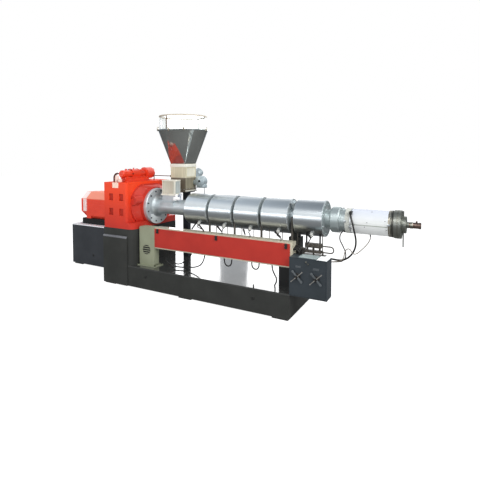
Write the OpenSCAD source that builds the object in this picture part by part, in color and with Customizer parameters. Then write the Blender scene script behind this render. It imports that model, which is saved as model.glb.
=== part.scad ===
// Single-screw plastic extruder on a beam base.
// Origin: on the floor, under the screw axis, where the barrel flange leaves its housing.
// +X runs along the screw towards the outlet, +Y away from the operator, +Z up. Millimetres.

/* [Screw and barrel] */
// Height of the screw axis above the underside of the base
centre_h = 1000; // [900:10:1100]
// Radius of the barrel flange
flange_r = 242; // [235:1:246]
// Thickness of the barrel flange
flange_t = 72; // [60:1:90]
// Radius of the bare barrel tube
barrel_r = 100; // [85:1:110]
// Distance from the bearing housing to the first heater drum
feed_len = 615; // [560:5:700]
// Radius of the heater drums
drum_r = 196; // [180:1:205]
// Lengths of the five heater drums
drum_len = [326, 313, 313, 317, 316]; // [280:1:360]
// Gaps after each heater drum
drum_gap = [37, 38, 39, 68]; // [25:1:90]

/* [Discharge end] */
// Radius of the collar after the last drum
collar_r = 136; // [128:1:150]
// Length of the collar
collar_len = 158; // [120:1:180]
// Space between the last drum and the collar
collar_gap = 60; // [40:1:80]
// Radius of the bare neck before the sleeve
neck_r = 116; // [105:1:118]
// Length of the bare neck
neck_len = 60; // [50:1:90]
// Radius of the insulated sleeve
sleeve_r = 128; // [118:1:138]
// Length of the insulated sleeve
sleeve_len = 388; // [350:1:450]
// Radius of the end flange
end_r = 140; // [130:1:160]
// Thickness of the end flange
end_t = 64; // [40:1:90]
// Radius of the outlet pipe
outlet_r = 29; // [20:1:40]
// Length of the outlet pipe
outlet_len = 107; // [60:1:200]

/* [Base] */
// Distance from the start of the last heater drum to the right end of the base
base_past = 55; // [48:1:80]
// Distance from the left end of the base to the end of the bearing housing
base_back = 523; // [520:1:560]
// Width of the base beam
base_w = 874; // [800:2:1000]
// Height of the base beam with its top plate
base_h = 268; // [220:1:300]
// Thickness of the top plate
plate_t = 20; // [10:1:30]
// Height of the levelling pads
pad_h = 15; // [10:1:30]

/* [Motor and gearbox] */
// Length of the motor stand
stand_len = 1185; // [1100:5:1400]
// Width of the motor stand
stand_w = 612; // [500:2:640]
// Height of the motor stand
stand_h = 612; // [560:2:640]
// Distance of the motor axis behind the screw axis
motor_y = 300; // [280:5:330]
// Half width of the motor body across its flats
motor_half = 205; // [180:1:215]
// Length of the motor body
motor_len = 920; // [800:5:960]
// Length of the gearbox housing along the screw
gear_len = 415; // [380:1:430]
// Height of the gearbox housing
gear_h = 601; // [580:1:660]
// Height of the gearbox underside above the base underside
gear_z = 733; // [715:1:750]
// Radius of the bearing housing at the flange
bearing_r = 256; // [252:1:262]
// Width of the bearing housing at the gearbox
boss_w = 740; // [700:2:780]
// Height of the bearing housing at the gearbox
boss_h = 530; // [520:2:560]

/* [Feeder] */
// Distance of the feeder axis after the bearing housing
feeder_x = 267; // [250:1:290]
// Distance of the hopper axis behind the screw axis
feeder_y = 270; // [250:1:300]
// Height of the hopper neck
neck_h = 145; // [120:1:170]
// Width of the hopper neck
neck_w = 246; // [236:2:256]
// Depth of the hopper neck
neck_d = 250; // [240:2:256]
// Radius of the hopper rim
hopper_r = 343; // [300:1:360]
// Height of the hopper cone
hopper_h = 467; // [400:1:550]
// Thickness of the hopper sheet
sheet = 4; // [3:1:6]
// Height of the clear sight sleeve
sight_h = 172; // [100:2:250]

/* [Cable duct] */
// Distance from the right end of the cable duct to the end of the base
duct_short = 4; // [0:1:12]
// Height of the cable duct
duct_h = 267; // [240:1:290]
// Depth of the cable duct
duct_d = 100; // [80:1:110]
// Height of the duct underside above the base underside
duct_z = 508; // [480:1:530]

/* [Hidden] */
$fn = 64;

orange = "#e2452d";
dark_orange = "#c23b2c";
charcoal = "#3a3b3a";
steel = "#a4acaf";
bright_steel = "#bcc4c8";
dark_steel = "#3b3f40";
beige = "#b9b8a2";
cream = "#d2ccb6";
black = "#222221";

// Heights
floor_z = 0;
base_z0 = floor_z + pad_h;
base_z1 = base_z0 + base_h;
axis_z = base_z0 + centre_h;
stand_z1 = base_z0 + stand_h;
gear_z0 = base_z0 + gear_z;
gear_z1 = gear_z0 + gear_h;

// Ends of the base and of the gearbox
base_x0 = -base_back;
base_y = base_w / 2;
gear_x0 = base_x0 + 15;
gear_x1 = base_x0 + gear_len;
foot_x1 = -12;
foot_h = 80;
flange_seat = 30;
flange_x0 = -flange_seat;
flange_x1 = flange_x0 + flange_t;

// Starts of the heater drums, each after the one before and its gap
function drum_x(i) = i == 0 ? feed_len : drum_x(i - 1) + drum_len[i - 1] + drum_gap[i - 1];
function drum_end(i) = drum_x(i) + drum_len[i];
base_x1 = drum_x(4) + base_past;
end_plate_t = 6;
plate_lip = 3;

// Stations of the discharge end
collar_x1 = drum_end(4) + collar_len;
collar_x0 = drum_end(4) + collar_gap;
neck_x1 = collar_x1 + neck_len;
cap_t = 48;
sleeve_x0 = neck_x1 + cap_t;
sleeve_x1 = sleeve_x0 + sleeve_len;
dark_ring_t = 35;
end_x0 = sleeve_x1 + dark_ring_t;
end_x1 = end_x0 + end_t;
disc_r = 83;
disc_t = 42;
hub_r = 30;
hub_t = 24;
disc_x1 = end_x1 + disc_t;
hub_x1 = disc_x1 + hub_t;
outlet_wall = 7;

// Feeder levels, from the barrel up
throat_w = 206;
throat_d = 120;
throat_rise = 157;
throat_z1 = axis_z + throat_rise;
chute_w = 216;
chute_d = 110;
chute_h = 203;
chute_z1 = throat_z1 + chute_h;
trough_rise = 33;
trough_h = 191;
trough_z0 = throat_z1 + trough_rise;
trough_z1 = trough_z0 + trough_h;
neck_collar_h = 44;
collar_z0 = trough_z1 + neck_h;
hopper_z0 = collar_z0 + neck_collar_h;
hopper_half = 122;
hopper_z1 = hopper_z0 + hopper_h;
sight_r = 320;
sight_wall = 6;
sight_z1 = hopper_z1 + sight_h;
ring_h = 18;
feeder_front = feeder_y - neck_d / 2;
feeder_back = feeder_y + neck_d / 2;
feed_screw_rise = 120;
feed_screw_z = trough_z0 + feed_screw_rise;
screw_tube_r = 35;

// Cable duct
duct_y0 = -330;
duct_y1 = duct_y0 + duct_d;
duct_z0 = base_z0 + duct_z;
duct_z1 = duct_z0 + duct_h;
duct_x0 = 264;
duct_x1 = base_x1 - duct_short;
duct_len = duct_x1 - duct_x0;
cover_t = 8;
cover_edge = 15;
post_w = 250;
post_y0 = duct_y0 - 10;
post_y1 = post_y0 + 85;
foot_t = 12;

// Valve box at the right end of the base
box_len = 391;
box_d = 163;
box_rise = 259;
box_h = 396;
box_z0 = base_z0 + box_rise;
box_z1 = box_z0 + box_h;
box_y0 = -base_y;
box_y1 = box_y0 + box_d;
box_x1 = base_x1 + box_len;

// A block given by its two corners
module block(x0, x1, y0, y1, z0, z1) {
    translate([x0, y0, z0]) cube([x1 - x0, y1 - y0, z1 - z0]);
}

// Round bar along X, Y or Z between two stations
module bar_x(r, x0, x1, y, z) {
    translate([x0, y, z]) rotate([0, 90, 0]) cylinder(r = r, h = x1 - x0);
}
module bar_y(r, y0, y1, x, z) {
    translate([x, y0, z]) rotate([-90, 0, 0]) cylinder(r = r, h = y1 - y0);
}
module bar_z(r, z0, z1, x, y) {
    translate([x, y, z0]) cylinder(r = r, h = z1 - z0);
}

// Block as deep as the base, with its front right corner rounded
module front_rounded(x0, x1, r, z0, z1) {
    block(x0, x1 - r, -base_y, base_y, z0, z1);
    block(x0, x1, -base_y + r, base_y, z0, z1);
    bar_z(r, z0, z1, x1 - r, -base_y + r);
}

// Round bar between two points
module rod(p, q, r) {
    d = q - p;
    translate(p) rotate([0, acos(d[2] / norm(d)), atan2(d[1], d[0])]) cylinder(r = r, h = norm(d));
}

// Body turned about a line along Y, from points of radius and station
module turned_y(points, x, z) {
    translate([x, 0, z]) rotate([-90, 0, 0]) rotate_extrude() polygon(points);
}

// Quarter of a bent pipe that leaves [x, y, z] along X and ends pointing down
module elbow_down(r, bend, x, y, z) {
    translate([x, y, z - bend]) rotate([90, 0, 0])
        rotate_extrude(angle = 90) translate([bend, 0]) circle(r = r);
}

// Ring along X
module ring_x(r_out, r_in, x0, x1, y, z) {
    difference() {
        bar_x(r_out, x0, x1, y, z);
        bar_x(r_in, x0 - 1, x1 + 1, y, z);
    }
}

// Rectangle with round corners, centred
module round_rect(w, h, r, sides = 64) {
    square([w - 2 * r, h], center = true);
    square([w, h - 2 * r], center = true);
    for (sx = [-1, 1], sy = [-1, 1])
        translate([sx * (w / 2 - r), sy * (h / 2 - r)]) circle(r = r, $fn = sides);
}

// Square with its upper and lower corners cut, as on a laminated motor frame
module cut_square(half, cut, low) {
    polygon([[-half + low, -half], [half - low, -half], [half, -half + low], [half, half - cut],
        [half - cut, half], [-half + cut, half], [-half, half - cut], [-half, -half + low]]);
}
module cut_bar_x(half, cut, low, x0, x1, y, z) {
    translate([x0, y, z]) rotate([90, 0, 90]) linear_extrude(x1 - x0) cut_square(half, cut, low);
}

// Tube swept along the points of a route, with its side vector carried from ring to ring
function unit(v) = v / norm(v);
function ahead(p, i) = unit(p[min(i + 1, len(p) - 1)] - p[max(i - 1, 0)]);
function square_to(d, v) = unit(v - (v * d) * d);
function first_side(d) = abs(d[2]) < 0.9 ? [0, 0, 1] : [1, 0, 0];
function side(p, i) = square_to(ahead(p, i), i == 0 ? first_side(ahead(p, 0)) : side(p, i - 1));
module swept_tube(p, r, n = 8) {
    last = len(p) - 1;
    points = [for (i = [0:last], k = [0:n - 1])
        p[i] + r * (cos(k * 360 / n) * side(p, i) + sin(k * 360 / n) * cross(ahead(p, i), side(p, i)))];
    walls = [for (i = [0:last - 1], k = [0:n - 1])
        let(a = i * n + k, b = i * n + (k + 1) % n) each [[a, a + n, b + n], [a, b + n, b]]];
    polyhedron(points, concat(walls, [[for (k = [0:n - 1]) k]], [[for (k = [0:n - 1]) last * n + n - 1 - k]]));
}

// Base
pad_l = 180;
pad_w = 110;
pad_inset = 14;
sill_w = 120;
sill_l = 600;
module levelling_pads() {
    color(charcoal) {
        for (x = [base_x0 + pad_inset, (base_x0 + base_x1 - pad_l) / 2, base_x1 - pad_inset - pad_l],
             y = [-base_y + 4, base_y - 4 - pad_w])
            block(x, x + pad_l, y, y + pad_w, floor_z, base_z0);
        for (y = [motor_y - stand_w / 2 + 4, motor_y + stand_w / 2 - 4 - pad_w])
            block(base_x0 - stand_len + 40, base_x0 - stand_len + 40 + pad_l, y, y + pad_w, floor_z, base_z0);
        block(-sill_w / 2, sill_w / 2, -sill_l / 2, sill_l / 2, floor_z, base_z0);
    }
}

module base_frame() {
    color(charcoal) block(base_x0, base_x1, -base_y, base_y, base_z0, base_z1 - plate_t);
}

plate_over = 4;
module base_top_plate() {
    color("#474846")
        block(base_x0, base_x1, -base_y - plate_over, base_y + plate_over, base_z1 - plate_t, base_z1);
}

module motor_stand() {
    color("#45474b") {
        block(base_x0 - stand_len, base_x0, motor_y - stand_w / 2, motor_y + stand_w / 2,
            base_z0, stand_z1);
    }
}

// Pedestal under the gearbox, with a front cover that has a sloped ledge and runs to the floor
pedestal_x1 = -10;
cover_w = 423;
cover_deep = 16;
ledge = 20;
ledge_z = gear_z0 - 94;
foot_edge_r = 80;
module gearbox_pedestal() {
    color(charcoal) {
        front_rounded(base_x0, pedestal_x1, foot_edge_r, base_z1, gear_z0);
        translate([base_x0, -base_y, 0]) rotate([90, 0, 90]) linear_extrude(cover_w)
            polygon([[0, base_z0], [-cover_deep, base_z0], [-cover_deep, ledge_z - ledge], [0, ledge_z],
                [0, base_z1], [-plate_over, base_z1], [-plate_over, base_z1 - plate_t],
                [0, base_z1 - plate_t]]);
    }
}

// Motor
rail_h = 88;
rail_w = 60;
rail_inset = 0;
motor_z = stand_z1 + rail_h + motor_half;
motor_x0 = base_x0 - stand_len + 85;
motor_x1 = motor_x0 + motor_len;
motor_cut = 100;
motor_low_cut = 45;
bell_len = 120;
module motor_rails() {
    color(dark_steel)
        for (s = [-1, 1])
            translate([0, motor_y + s * (motor_half - rail_inset - rail_w / 2), 0])
                block(motor_x0 + 30, motor_x1 - 30, -rail_w / 2, rail_w / 2, stand_z1, stand_z1 + rail_h);
}

foot_len = 100;
foot_w = 58;
foot_up = 95;
module motor_body() {
    color(orange) {
        cut_bar_x(motor_half, motor_cut, motor_low_cut, motor_x0 + bell_len, motor_x1 - bell_len,
            motor_y, motor_z);
        for (x = [motor_x0 + bell_len + 4, motor_x1 - bell_len - 4 - foot_len], s = [-1, 1])
            translate([0, motor_y + s * (motor_half - foot_w / 2), 0])
                block(x, x + foot_len, -foot_w / 2, foot_w / 2,
                    motor_z - motor_half, motor_z - motor_half + foot_up);
    }
}

bell_half = 198;
vent_w = 88;
vent_h = 12;
vent_step = 26;
module motor_end_bells() {
    color(dark_orange) {
        cut_bar_x(bell_half, motor_cut, motor_cut, motor_x0, motor_x0 + bell_len, motor_y, motor_z);
        difference() {
            cut_bar_x(bell_half, motor_cut, motor_cut, motor_x1 - bell_len, motor_x1, motor_y, motor_z);
            for (i = [-2:2], s = [-1, 1])
                translate([0, motor_y + s * bell_half, 0])
                    block(motor_x1 - bell_len / 2 - vent_w / 2, motor_x1 - bell_len / 2 + vent_w / 2, -8, 8,
                        motor_z + i * vent_step - vent_h / 2, motor_z + i * vent_step + vent_h / 2);
        }
    }
}

guard_half = 120;
module coupling_guard() {
    color(dark_orange)
        translate([motor_x1, motor_y, motor_z]) rotate([90, 0, 90])
            linear_extrude(gear_x0 - motor_x1) round_rect(2 * guard_half, 2 * guard_half, 60);
}

// Gearbox: housing with a thick foot on the barrel side and four front recesses
gear_edge_r = 30;
recess_x = [103, 283];
recess_z = [169, 361];
recess_w = 71;
recess_h = 92;
recess_deep = 14;
slot_y = -15;
slot_w = 102;
slot_down = 46;
slot_h = 33;
slot_deep = 18;
module gearbox_housing() {
    color(orange) difference() {
        union() {
            block(gear_x0, gear_x1 - gear_edge_r, -base_y, base_y, gear_z0, gear_z1);
            block(gear_x0, gear_x1, -base_y + gear_edge_r, base_y - gear_edge_r, gear_z0, gear_z1);
            for (s = [-1, 1])
                bar_z(gear_edge_r, gear_z0, gear_z1, gear_x1 - gear_edge_r, s * (base_y - gear_edge_r));
            gearbox_foot();
        }
        for (x = recess_x, z = recess_z, s = [-1, 1])
            block(base_x0 + x, base_x0 + x + recess_w, s * base_y - recess_deep, s * base_y + recess_deep,
                gear_z0 + z, gear_z0 + z + recess_h);
        block(gear_x1 - slot_deep, gear_x1 + 1, slot_y, slot_y + slot_w, gear_z1 - slot_down - slot_h,
            gear_z1 - slot_down);
        bar_x(flange_r + 1, flange_x0, flange_x1, 0, axis_z);
    }
}

// Bearing housing: a cast hood from the gearbox face to the round seat of the barrel flange
boss_corner = 240;
boss_up = 35;
boss_t = 20;
hood_step = 16;
collar_deep = 45;
side_port_r = 60;
side_port_x = gear_x1 + 40;
side_port_z = axis_z + 98;
side_port_out = boss_w / 2 - 4;
side_port_len = 150;
module gearbox_foot() {
    front_rounded(gear_x0, foot_x1, foot_edge_r, gear_z0, gear_z0 + foot_h);
}
module bearing_housing() {
    color(dark_orange) difference() {
        union() {
            translate([gear_x1, 0, axis_z + boss_up]) rotate([90, 0, 90])
                linear_extrude(boss_t) round_rect(boss_w, boss_h, boss_corner);
            hull() {
                translate([gear_x1 + boss_t - 1, 0, axis_z + boss_up]) rotate([90, 0, 90]) linear_extrude(1)
                    round_rect(boss_w - 2 * hood_step, boss_h - 2 * hood_step, boss_corner - hood_step, 32);
                translate([-collar_deep, 0, axis_z]) rotate([0, 90, 0])
                    cylinder(r = bearing_r + 2, h = 1, $fn = 48);
            }
            bar_x(bearing_r, -collar_deep, -2, 0, axis_z);
            for (y = [-side_port_out, side_port_out - side_port_len])
                bar_y(side_port_r, y, y + side_port_len, side_port_x, side_port_z);
        }
        for (s = [-1, 1])
            translate([0, s * side_port_out, 0])
                bar_y(side_port_r - 14, -8, 8, side_port_x, side_port_z);
        bar_x(flange_r + 1, flange_x0, 1, 0, axis_z);
        gearbox_foot();
        block(gear_x0, foot_x1, -base_y, base_y, gear_z0 - boss_h, gear_z0 + 1);
        block(gear_x0, gear_x1, -base_y, base_y, gear_z0, gear_z1);
    }
}

// Lubrication pump set that lies across the gearbox top: pump, bell housing, motor and fan cowl
pump_in = 250;
pump_x = base_x0 + pump_in;
pump_z = gear_z1 + 106;
pump_r = 50;
bell_r = 66;
pump_motor_r = 44;
cowl_r = 80;
pump_front = -368;
bell_front = -205;
pump_motor_front = -64;
cowl_front = 62;
cowl_back = 240;
saddle_w = 96;
port_r = 15;
module lube_pump() {
    color(orange) {
        turned_y([[0, pump_front], [pump_r - 14, pump_front], [pump_r, pump_front + 16], [pump_r, bell_front],
            [bell_r, bell_front], [bell_r, bell_front + 18], [bell_r - 8, bell_front + 24],
            [bell_r - 4, pump_motor_front - 14], [bell_r, pump_motor_front - 14], [bell_r, pump_motor_front],
            [pump_motor_r, pump_motor_front], [pump_motor_r, cowl_front], [cowl_r, cowl_front + 6],
            [cowl_r, cowl_back - 44], [cowl_r - 8, cowl_back - 20], [cowl_r - 26, cowl_back - 4],
            [cowl_r - 40, cowl_back], [0, cowl_back]], pump_x, pump_z);
        for (y = [pump_front + 50, cowl_front - 60])
            block(pump_x - saddle_w / 2, pump_x + saddle_w / 2, y, y + 34, gear_z1, pump_z - 36);
        bar_z(port_r, pump_z, pump_z + pump_r + 16, pump_x, bell_front - 70);
        bar_z(port_r - 5, pump_z, pump_z + bell_r + 10, pump_x, bell_front + 70);
    }
}

// Oil line: filter bowls and hose beside the pump, and the thin pipe to the feeder
bowl_r = 16;
oil_pipe_r = 6;
oil_pipe_x = pump_x + 96;
oil_pipe_y = 170;
oil_pipe_z = gear_z1 + 67;
hose_r = 8;
hose_bend = 60;
hose_rise = 50;
hose_x = base_x0 + 96;
hose_y = -336;
bowl_y = -400;
bowl_at = [[pump_x - 48, bowl_y, 40], [pump_x + 6, bowl_y, 34]];
module lube_pipe() {
    color(bright_steel) {
        for (p = bowl_at) {
            bar_z(bowl_r, gear_z1, gear_z1 + p[2], p[0], p[1]);
            bar_z(bowl_r - 8, gear_z1 + p[2], gear_z1 + p[2] + 12, p[0], p[1]);
        }
        bar_z(oil_pipe_r, gear_z1, oil_pipe_z, oil_pipe_x, oil_pipe_y);
        translate([oil_pipe_x, oil_pipe_y, oil_pipe_z]) sphere(r = oil_pipe_r + 3, $fn = 24);
        bar_x(oil_pipe_r, oil_pipe_x, feeder_x - neck_w / 2, oil_pipe_y, oil_pipe_z);
    }
    color("#7a3b30") difference() {
        union() {
            bar_z(hose_r, gear_z1, gear_z1 + hose_rise, hose_x, hose_y);
            translate([hose_x + hose_bend, hose_y, gear_z1 + hose_rise]) rotate([90, 0, 0]) rotate([0, 0, 90])
                rotate_extrude(angle = 90) translate([hose_bend, 0]) circle(r = hose_r);
            bar_x(hose_r, hose_x + hose_bend, pump_x, hose_y, gear_z1 + hose_rise + hose_bend);
        }
        bar_y(pump_r, pump_front + 16, bell_front, pump_x, pump_z);
    }
}

// Barrel tube with its flare at the flange, the feed throat and the degassing port
flare_r = 65;
saddle_z0 = 20;
saddle_z1 = 74;
port_angle = 29;
vent_r = drum_gap[3] / 2 - 6;
vent_out = drum_r + 5;
cap_r = vent_r + 3;
cap_h = 26;
module barrel() {
    color(steel) {
        bar_x(barrel_r, flange_x1, drum_x(0), 0, axis_z);
        for (i = [0:3])
            bar_x(barrel_r, drum_end(i), drum_x(i + 1), 0, axis_z);
        translate([0, 0, axis_z]) rotate([0, 90, 0]) rotate_extrude()
            polygon(concat([[barrel_r - 5, flange_x1]],
                [for (a = [0:10:90]) [barrel_r + flare_r * (1 - sin(a)), flange_x1 + flare_r * (1 - cos(a))]],
                [[barrel_r - 5, flange_x1 + flare_r]]));
        difference() {
            union() {
                block(feeder_x - throat_w / 2, feeder_x + throat_w / 2, -throat_d / 2, throat_d / 2,
                    axis_z, throat_z1);
                block(feeder_x - throat_w / 2 - 6, feeder_x + throat_w / 2 + 6, -barrel_r - 4, barrel_r + 4,
                    axis_z + saddle_z0, axis_z + saddle_z1);
            }
            bar_x(barrel_r - 1, feeder_x - throat_w, feeder_x + throat_w, 0, axis_z);
        }
        translate([drum_end(3) + drum_gap[3] / 2, 0, axis_z]) rotate([port_angle, 0, 0]) {
            translate([0, 0, barrel_r - 6]) cylinder(r = vent_r, h = vent_out - barrel_r - cap_h + 6);
            translate([0, 0, vent_out - cap_h]) cylinder(r = cap_r, h = cap_h);
            translate([0, 0, vent_out]) cylinder(r = cap_r - 14, h = 12);
        }
    }
}

rim_chamfer = 8;
module barrel_flange() {
    color(bright_steel) translate([0, 0, axis_z]) rotate([0, 90, 0]) rotate_extrude()
        polygon([[0, flange_x0], [flange_r, flange_x0], [flange_r, flange_x1 - rim_chamfer],
            [flange_r - rim_chamfer, flange_x1], [0, flange_x1]]);
}

// Heater drums with turned end plates
module drum(i) {
    color(steel) bar_x(drum_r, drum_x(i) + end_plate_t, drum_end(i) - end_plate_t, 0, axis_z);
}
module heater_drum_1() drum(0);
module heater_drum_2() drum(1);
module heater_drum_3() drum(2);
module heater_drum_4() drum(3);
module heater_drum_5() drum(4);

module drum_end_plates() {
    color(bright_steel)
        for (i = [0:4], x = [drum_x(i), drum_end(i) - end_plate_t])
            bar_x(drum_r - plate_lip, x, x + end_plate_t, 0, axis_z);
}

// Heater plugs low on the front of each drum
plug_r = 20;
plug_h = 34;
plug_from = 190;
plug_angle = 40;
plug_tip = drum_r + plug_h + 8;
function plug_at(i, r) = [drum_x(i) + plug_from, -r * sin(plug_angle), axis_z - r * cos(plug_angle)];
module heater_plugs() {
    color("#c9ccca")
        for (i = [0:4])
            difference() {
                translate([drum_x(i) + plug_from, 0, axis_z]) rotate([-plug_angle, 0, 0]) {
                    translate([0, 0, -drum_r - plug_h]) cylinder(r = plug_r, h = plug_h + plug_r);
                    translate([0, 0, -plug_tip]) cylinder(r = plug_r - 6, h = 10);
                }
                bar_x(drum_r, drum_x(i), drum_end(i), 0, axis_z);
            }
}

// Cooling pipes from the barrel down through the gaps into a header behind the duct
pipe_r = 13;
riser_r = 4;
riser_at = [[1, 0.25], [1, 0.75], [2, 0.25], [2, 0.75], [3, 0.25], [3, 0.75], [4, 0.1]];
header_r = 19;
header_y = -125;
header_z = duct_z1 - 100;
bracket_x = 60;
bracket_w = 40;
header_x0 = drum_end(0) - bracket_x;
header_x1 = base_x1 + 40;
function pipe_x(i) = i < 4 ? drum_end(i) + drum_gap[i] / 2 : drum_end(i) + pipe_r + 5;
module cooling_pipes() {
    color("#5d5f5e") {
        difference() {
            for (i = [0:3]) {
                bar_z(pipe_r, header_z, axis_z, pipe_x(i), header_y);
                bar_y(pipe_r, header_y, 0, pipe_x(i), axis_z);
                translate([pipe_x(i), header_y, axis_z]) sphere(r = pipe_r, $fn = 32);
            }
            bar_x(barrel_r, 0, drum_x(4), 0, axis_z);
        }
        difference() {
            for (p = riser_at)
                bar_z(riser_r, header_z, axis_z, drum_x(p[0]) + p[1] * drum_len[p[0]], header_y, $fn = 24);
            for (i = [1:4])
                bar_x(drum_r, drum_x(i), drum_end(i), 0, axis_z);
        }
        bar_x(header_r, header_x0, header_x1, header_y, header_z);
        for (i = [0, 2, 3])
            block(drum_end(i) - bracket_x, drum_end(i) - bracket_x + bracket_w, duct_y1, header_y,
                header_z - 6, header_z + 6);
    }
}

// Barrel support under the gap before the last drum
support_w = 160;
shoe_w = 220;
shoe_t = 16;
module barrel_support() {
    color(charcoal) difference() {
        union() {
            block(drum_end(3) + 4, drum_x(4) - 4, -support_w / 2, support_w / 2, base_z1, axis_z);
            block(drum_end(3) - 30, drum_x(4) + 30, -60, 60, base_z1, axis_z - drum_r - 30);
            block(drum_end(3) - 60, drum_x(4) + 40, -shoe_w / 2, shoe_w / 2, base_z1, base_z1 + shoe_t);
        }
        bar_x(barrel_r, drum_end(3) - 10, drum_x(4) + 10, 0, axis_z);
    }
}

// Discharge end
neck_ring = 6;
neck_ring_w = 8;
collar_edge = 12;
throat_r = 102;
end_bore = 30;
module discharge_neck() {
    color(steel) {
        ring_x(drum_r - plate_lip - 10, throat_r + end_bore, drum_end(4), drum_end(4) + 3, 0, axis_z);
        bar_x(throat_r, drum_end(4), collar_x0 + 1, 0, axis_z);
        translate([0, 0, axis_z]) rotate([90, 0, 90]) rotate_extrude($fn = 72)
            polygon([[0, collar_x0], [collar_r - collar_edge, collar_x0], [collar_r, collar_x0 + collar_edge],
                [collar_r, collar_x1 - collar_edge], [collar_r - collar_edge, collar_x1], [0, collar_x1]]);
        bar_x(neck_r, collar_x1, neck_x1, 0, axis_z);
        bar_x(neck_r + 7, collar_x1 + neck_ring, collar_x1 + neck_ring + neck_ring_w, 0, axis_z);
    }
}

module insulated_sleeve() {
    color("#dfe2e8") bar_x(sleeve_r, sleeve_x0, sleeve_x1, 0, axis_z);
}

module sleeve_rings() {
    color(cream) bar_x(sleeve_r + 2, neck_x1, sleeve_x0, 0, axis_z);
    color(dark_steel) bar_x(sleeve_r + 3, sleeve_x1, end_x0, 0, axis_z);
}

// End flange with the bolt circle that a die is fastened to
bolt_pcd = 236;
bolt_r = 9;
bolt_n = 8;
module end_flange() {
    color(steel) difference() {
        bar_x(end_r, end_x0, end_x1, 0, axis_z);
        for (i = [0:bolt_n - 1])
            translate([0, 0, axis_z]) rotate([i * 360 / bolt_n + 180 / bolt_n, 0, 0])
                bar_x(bolt_r, end_x0 + 20, end_x1 + 1, bolt_pcd / 2, 0);
    }
}

// End disc with a hub and with the upright rod that it clamps
pin_r = 6;
pin_back = 14;
pin_rise = 136;
pin_drop = 222;
module end_disc() {
    color(dark_steel) {
        bar_x(disc_r, end_x1, disc_x1, 0, axis_z);
        bar_x(hub_r, disc_x1, hub_x1, 0, axis_z);
        bar_z(pin_r, axis_z - pin_drop, axis_z + pin_rise, end_x1 + pin_back, 0);
    }
}

module outlet_pipe() {
    color("#7d6a5e") ring_x(outlet_r, outlet_r - outlet_wall, hub_x1, hub_x1 + outlet_len, 0, axis_z);
}

// Feed chute from the feeder down to the barrel throat, a sheet box with framed faces
chute_flange = 16;
chute_over = 14;
frame_w = 12;
frame_t = 4;
module feed_chute() {
    x0 = feeder_x - chute_w / 2;
    x1 = feeder_x + chute_w / 2;
    z0 = throat_z1 + chute_flange;
    color(cream) {
        difference() {
            block(x0, x1, -chute_d / 2, chute_d / 2, z0, chute_z1);
            for (s = [-1, 1])
                translate([0, s * chute_d / 2, 0])
                    block(x0 + frame_w, x1 - frame_w, -frame_t, frame_t, z0 + frame_w, chute_z1 - frame_w);
            for (x = [x0, x1])
                block(x - frame_t, x + frame_t, -chute_d / 2 + frame_w, chute_d / 2 - frame_w,
                    z0 + frame_w, chute_z1 - frame_w);
        }
        block(x0 - chute_over, x1 + chute_over, -chute_d / 2 - chute_over, chute_d / 2 + chute_over,
            throat_z1, z0);
    }
}

// Clamp that holds the chute down on the throat: a block and a cranked arm with its screw
clamp_w = 50;
clamp_y = -15;
module throat_clamp() {
    x = feeder_x + throat_w / 2 + 6;
    color(bright_steel) difference() {
        union() {
            block(x, x + 52, clamp_y - clamp_w / 2, clamp_y + clamp_w / 2, axis_z + 80, throat_z1 - 8);
            translate([x, clamp_y - clamp_w / 2 + 6, throat_z1 - 14]) rotate([0, -14, 0])
                cube([68, clamp_w - 12, 16]);
            bar_z(9, throat_z1 - 20, throat_z1 + 30, x + 44, clamp_y);
            bar_z(15, throat_z1 + 12, throat_z1 + 26, x + 44, clamp_y);
        }
        bar_x(barrel_r, feeder_x, feeder_x + throat_w, 0, axis_z);
        block(feeder_x, feeder_x + chute_w / 2 + chute_over + 1, -throat_d, throat_d, throat_z1 - 1, chute_z1);
    }
}

// Column that carries the feeder behind the barrel
shelf_h = 15;
column_x = feeder_x + 10;
column_y = 330;
module feeder_column() {
    color("#33363a") {
        block(column_x - 45, column_x + 45, column_y - 30, column_y + 30, base_z1, trough_z0 - shelf_h);
        block(feeder_x - neck_w / 2 + 12, feeder_x + neck_w / 2 - 12, feeder_front + 40, feeder_back - 10,
            trough_z0 - shelf_h, trough_z0);
    }
}

// Feeder trough with its base flange, a window frame and the screw tube to the chute
trough_flange = 40;
trough_over = 8;
module feeder_trough() {
    x0 = feeder_x - neck_w / 2;
    x1 = feeder_x + neck_w / 2;
    color("#8a8271") {
        difference() {
            block(x0, x1, feeder_front, feeder_back, trough_z0, trough_z1);
            block(x1 - frame_t, x1 + 1, feeder_front + frame_w, feeder_back - frame_w,
                trough_z0 + trough_flange + frame_w, trough_z1 - frame_w);
            block(x0 - 1, x0 + frame_t, feeder_front + frame_w, feeder_back - frame_w,
                trough_z0 + trough_flange + frame_w, trough_z1 - frame_w);
        }
        block(x0 - trough_over, x1 + trough_over, feeder_front - trough_over, feeder_back + trough_over,
            trough_z0, trough_z0 + trough_over);
        block(x0 - trough_over, x1 + trough_over, feeder_front - trough_over, feeder_back + trough_over,
            trough_z0 + trough_flange - trough_over, trough_z0 + trough_flange);
        bar_y(screw_tube_r, chute_d / 2, feeder_front, feeder_x, feed_screw_z);
        bar_y(screw_tube_r + 12, chute_d / 2, chute_d / 2 + 10, feeder_x, feed_screw_z);
    }
}

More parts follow.
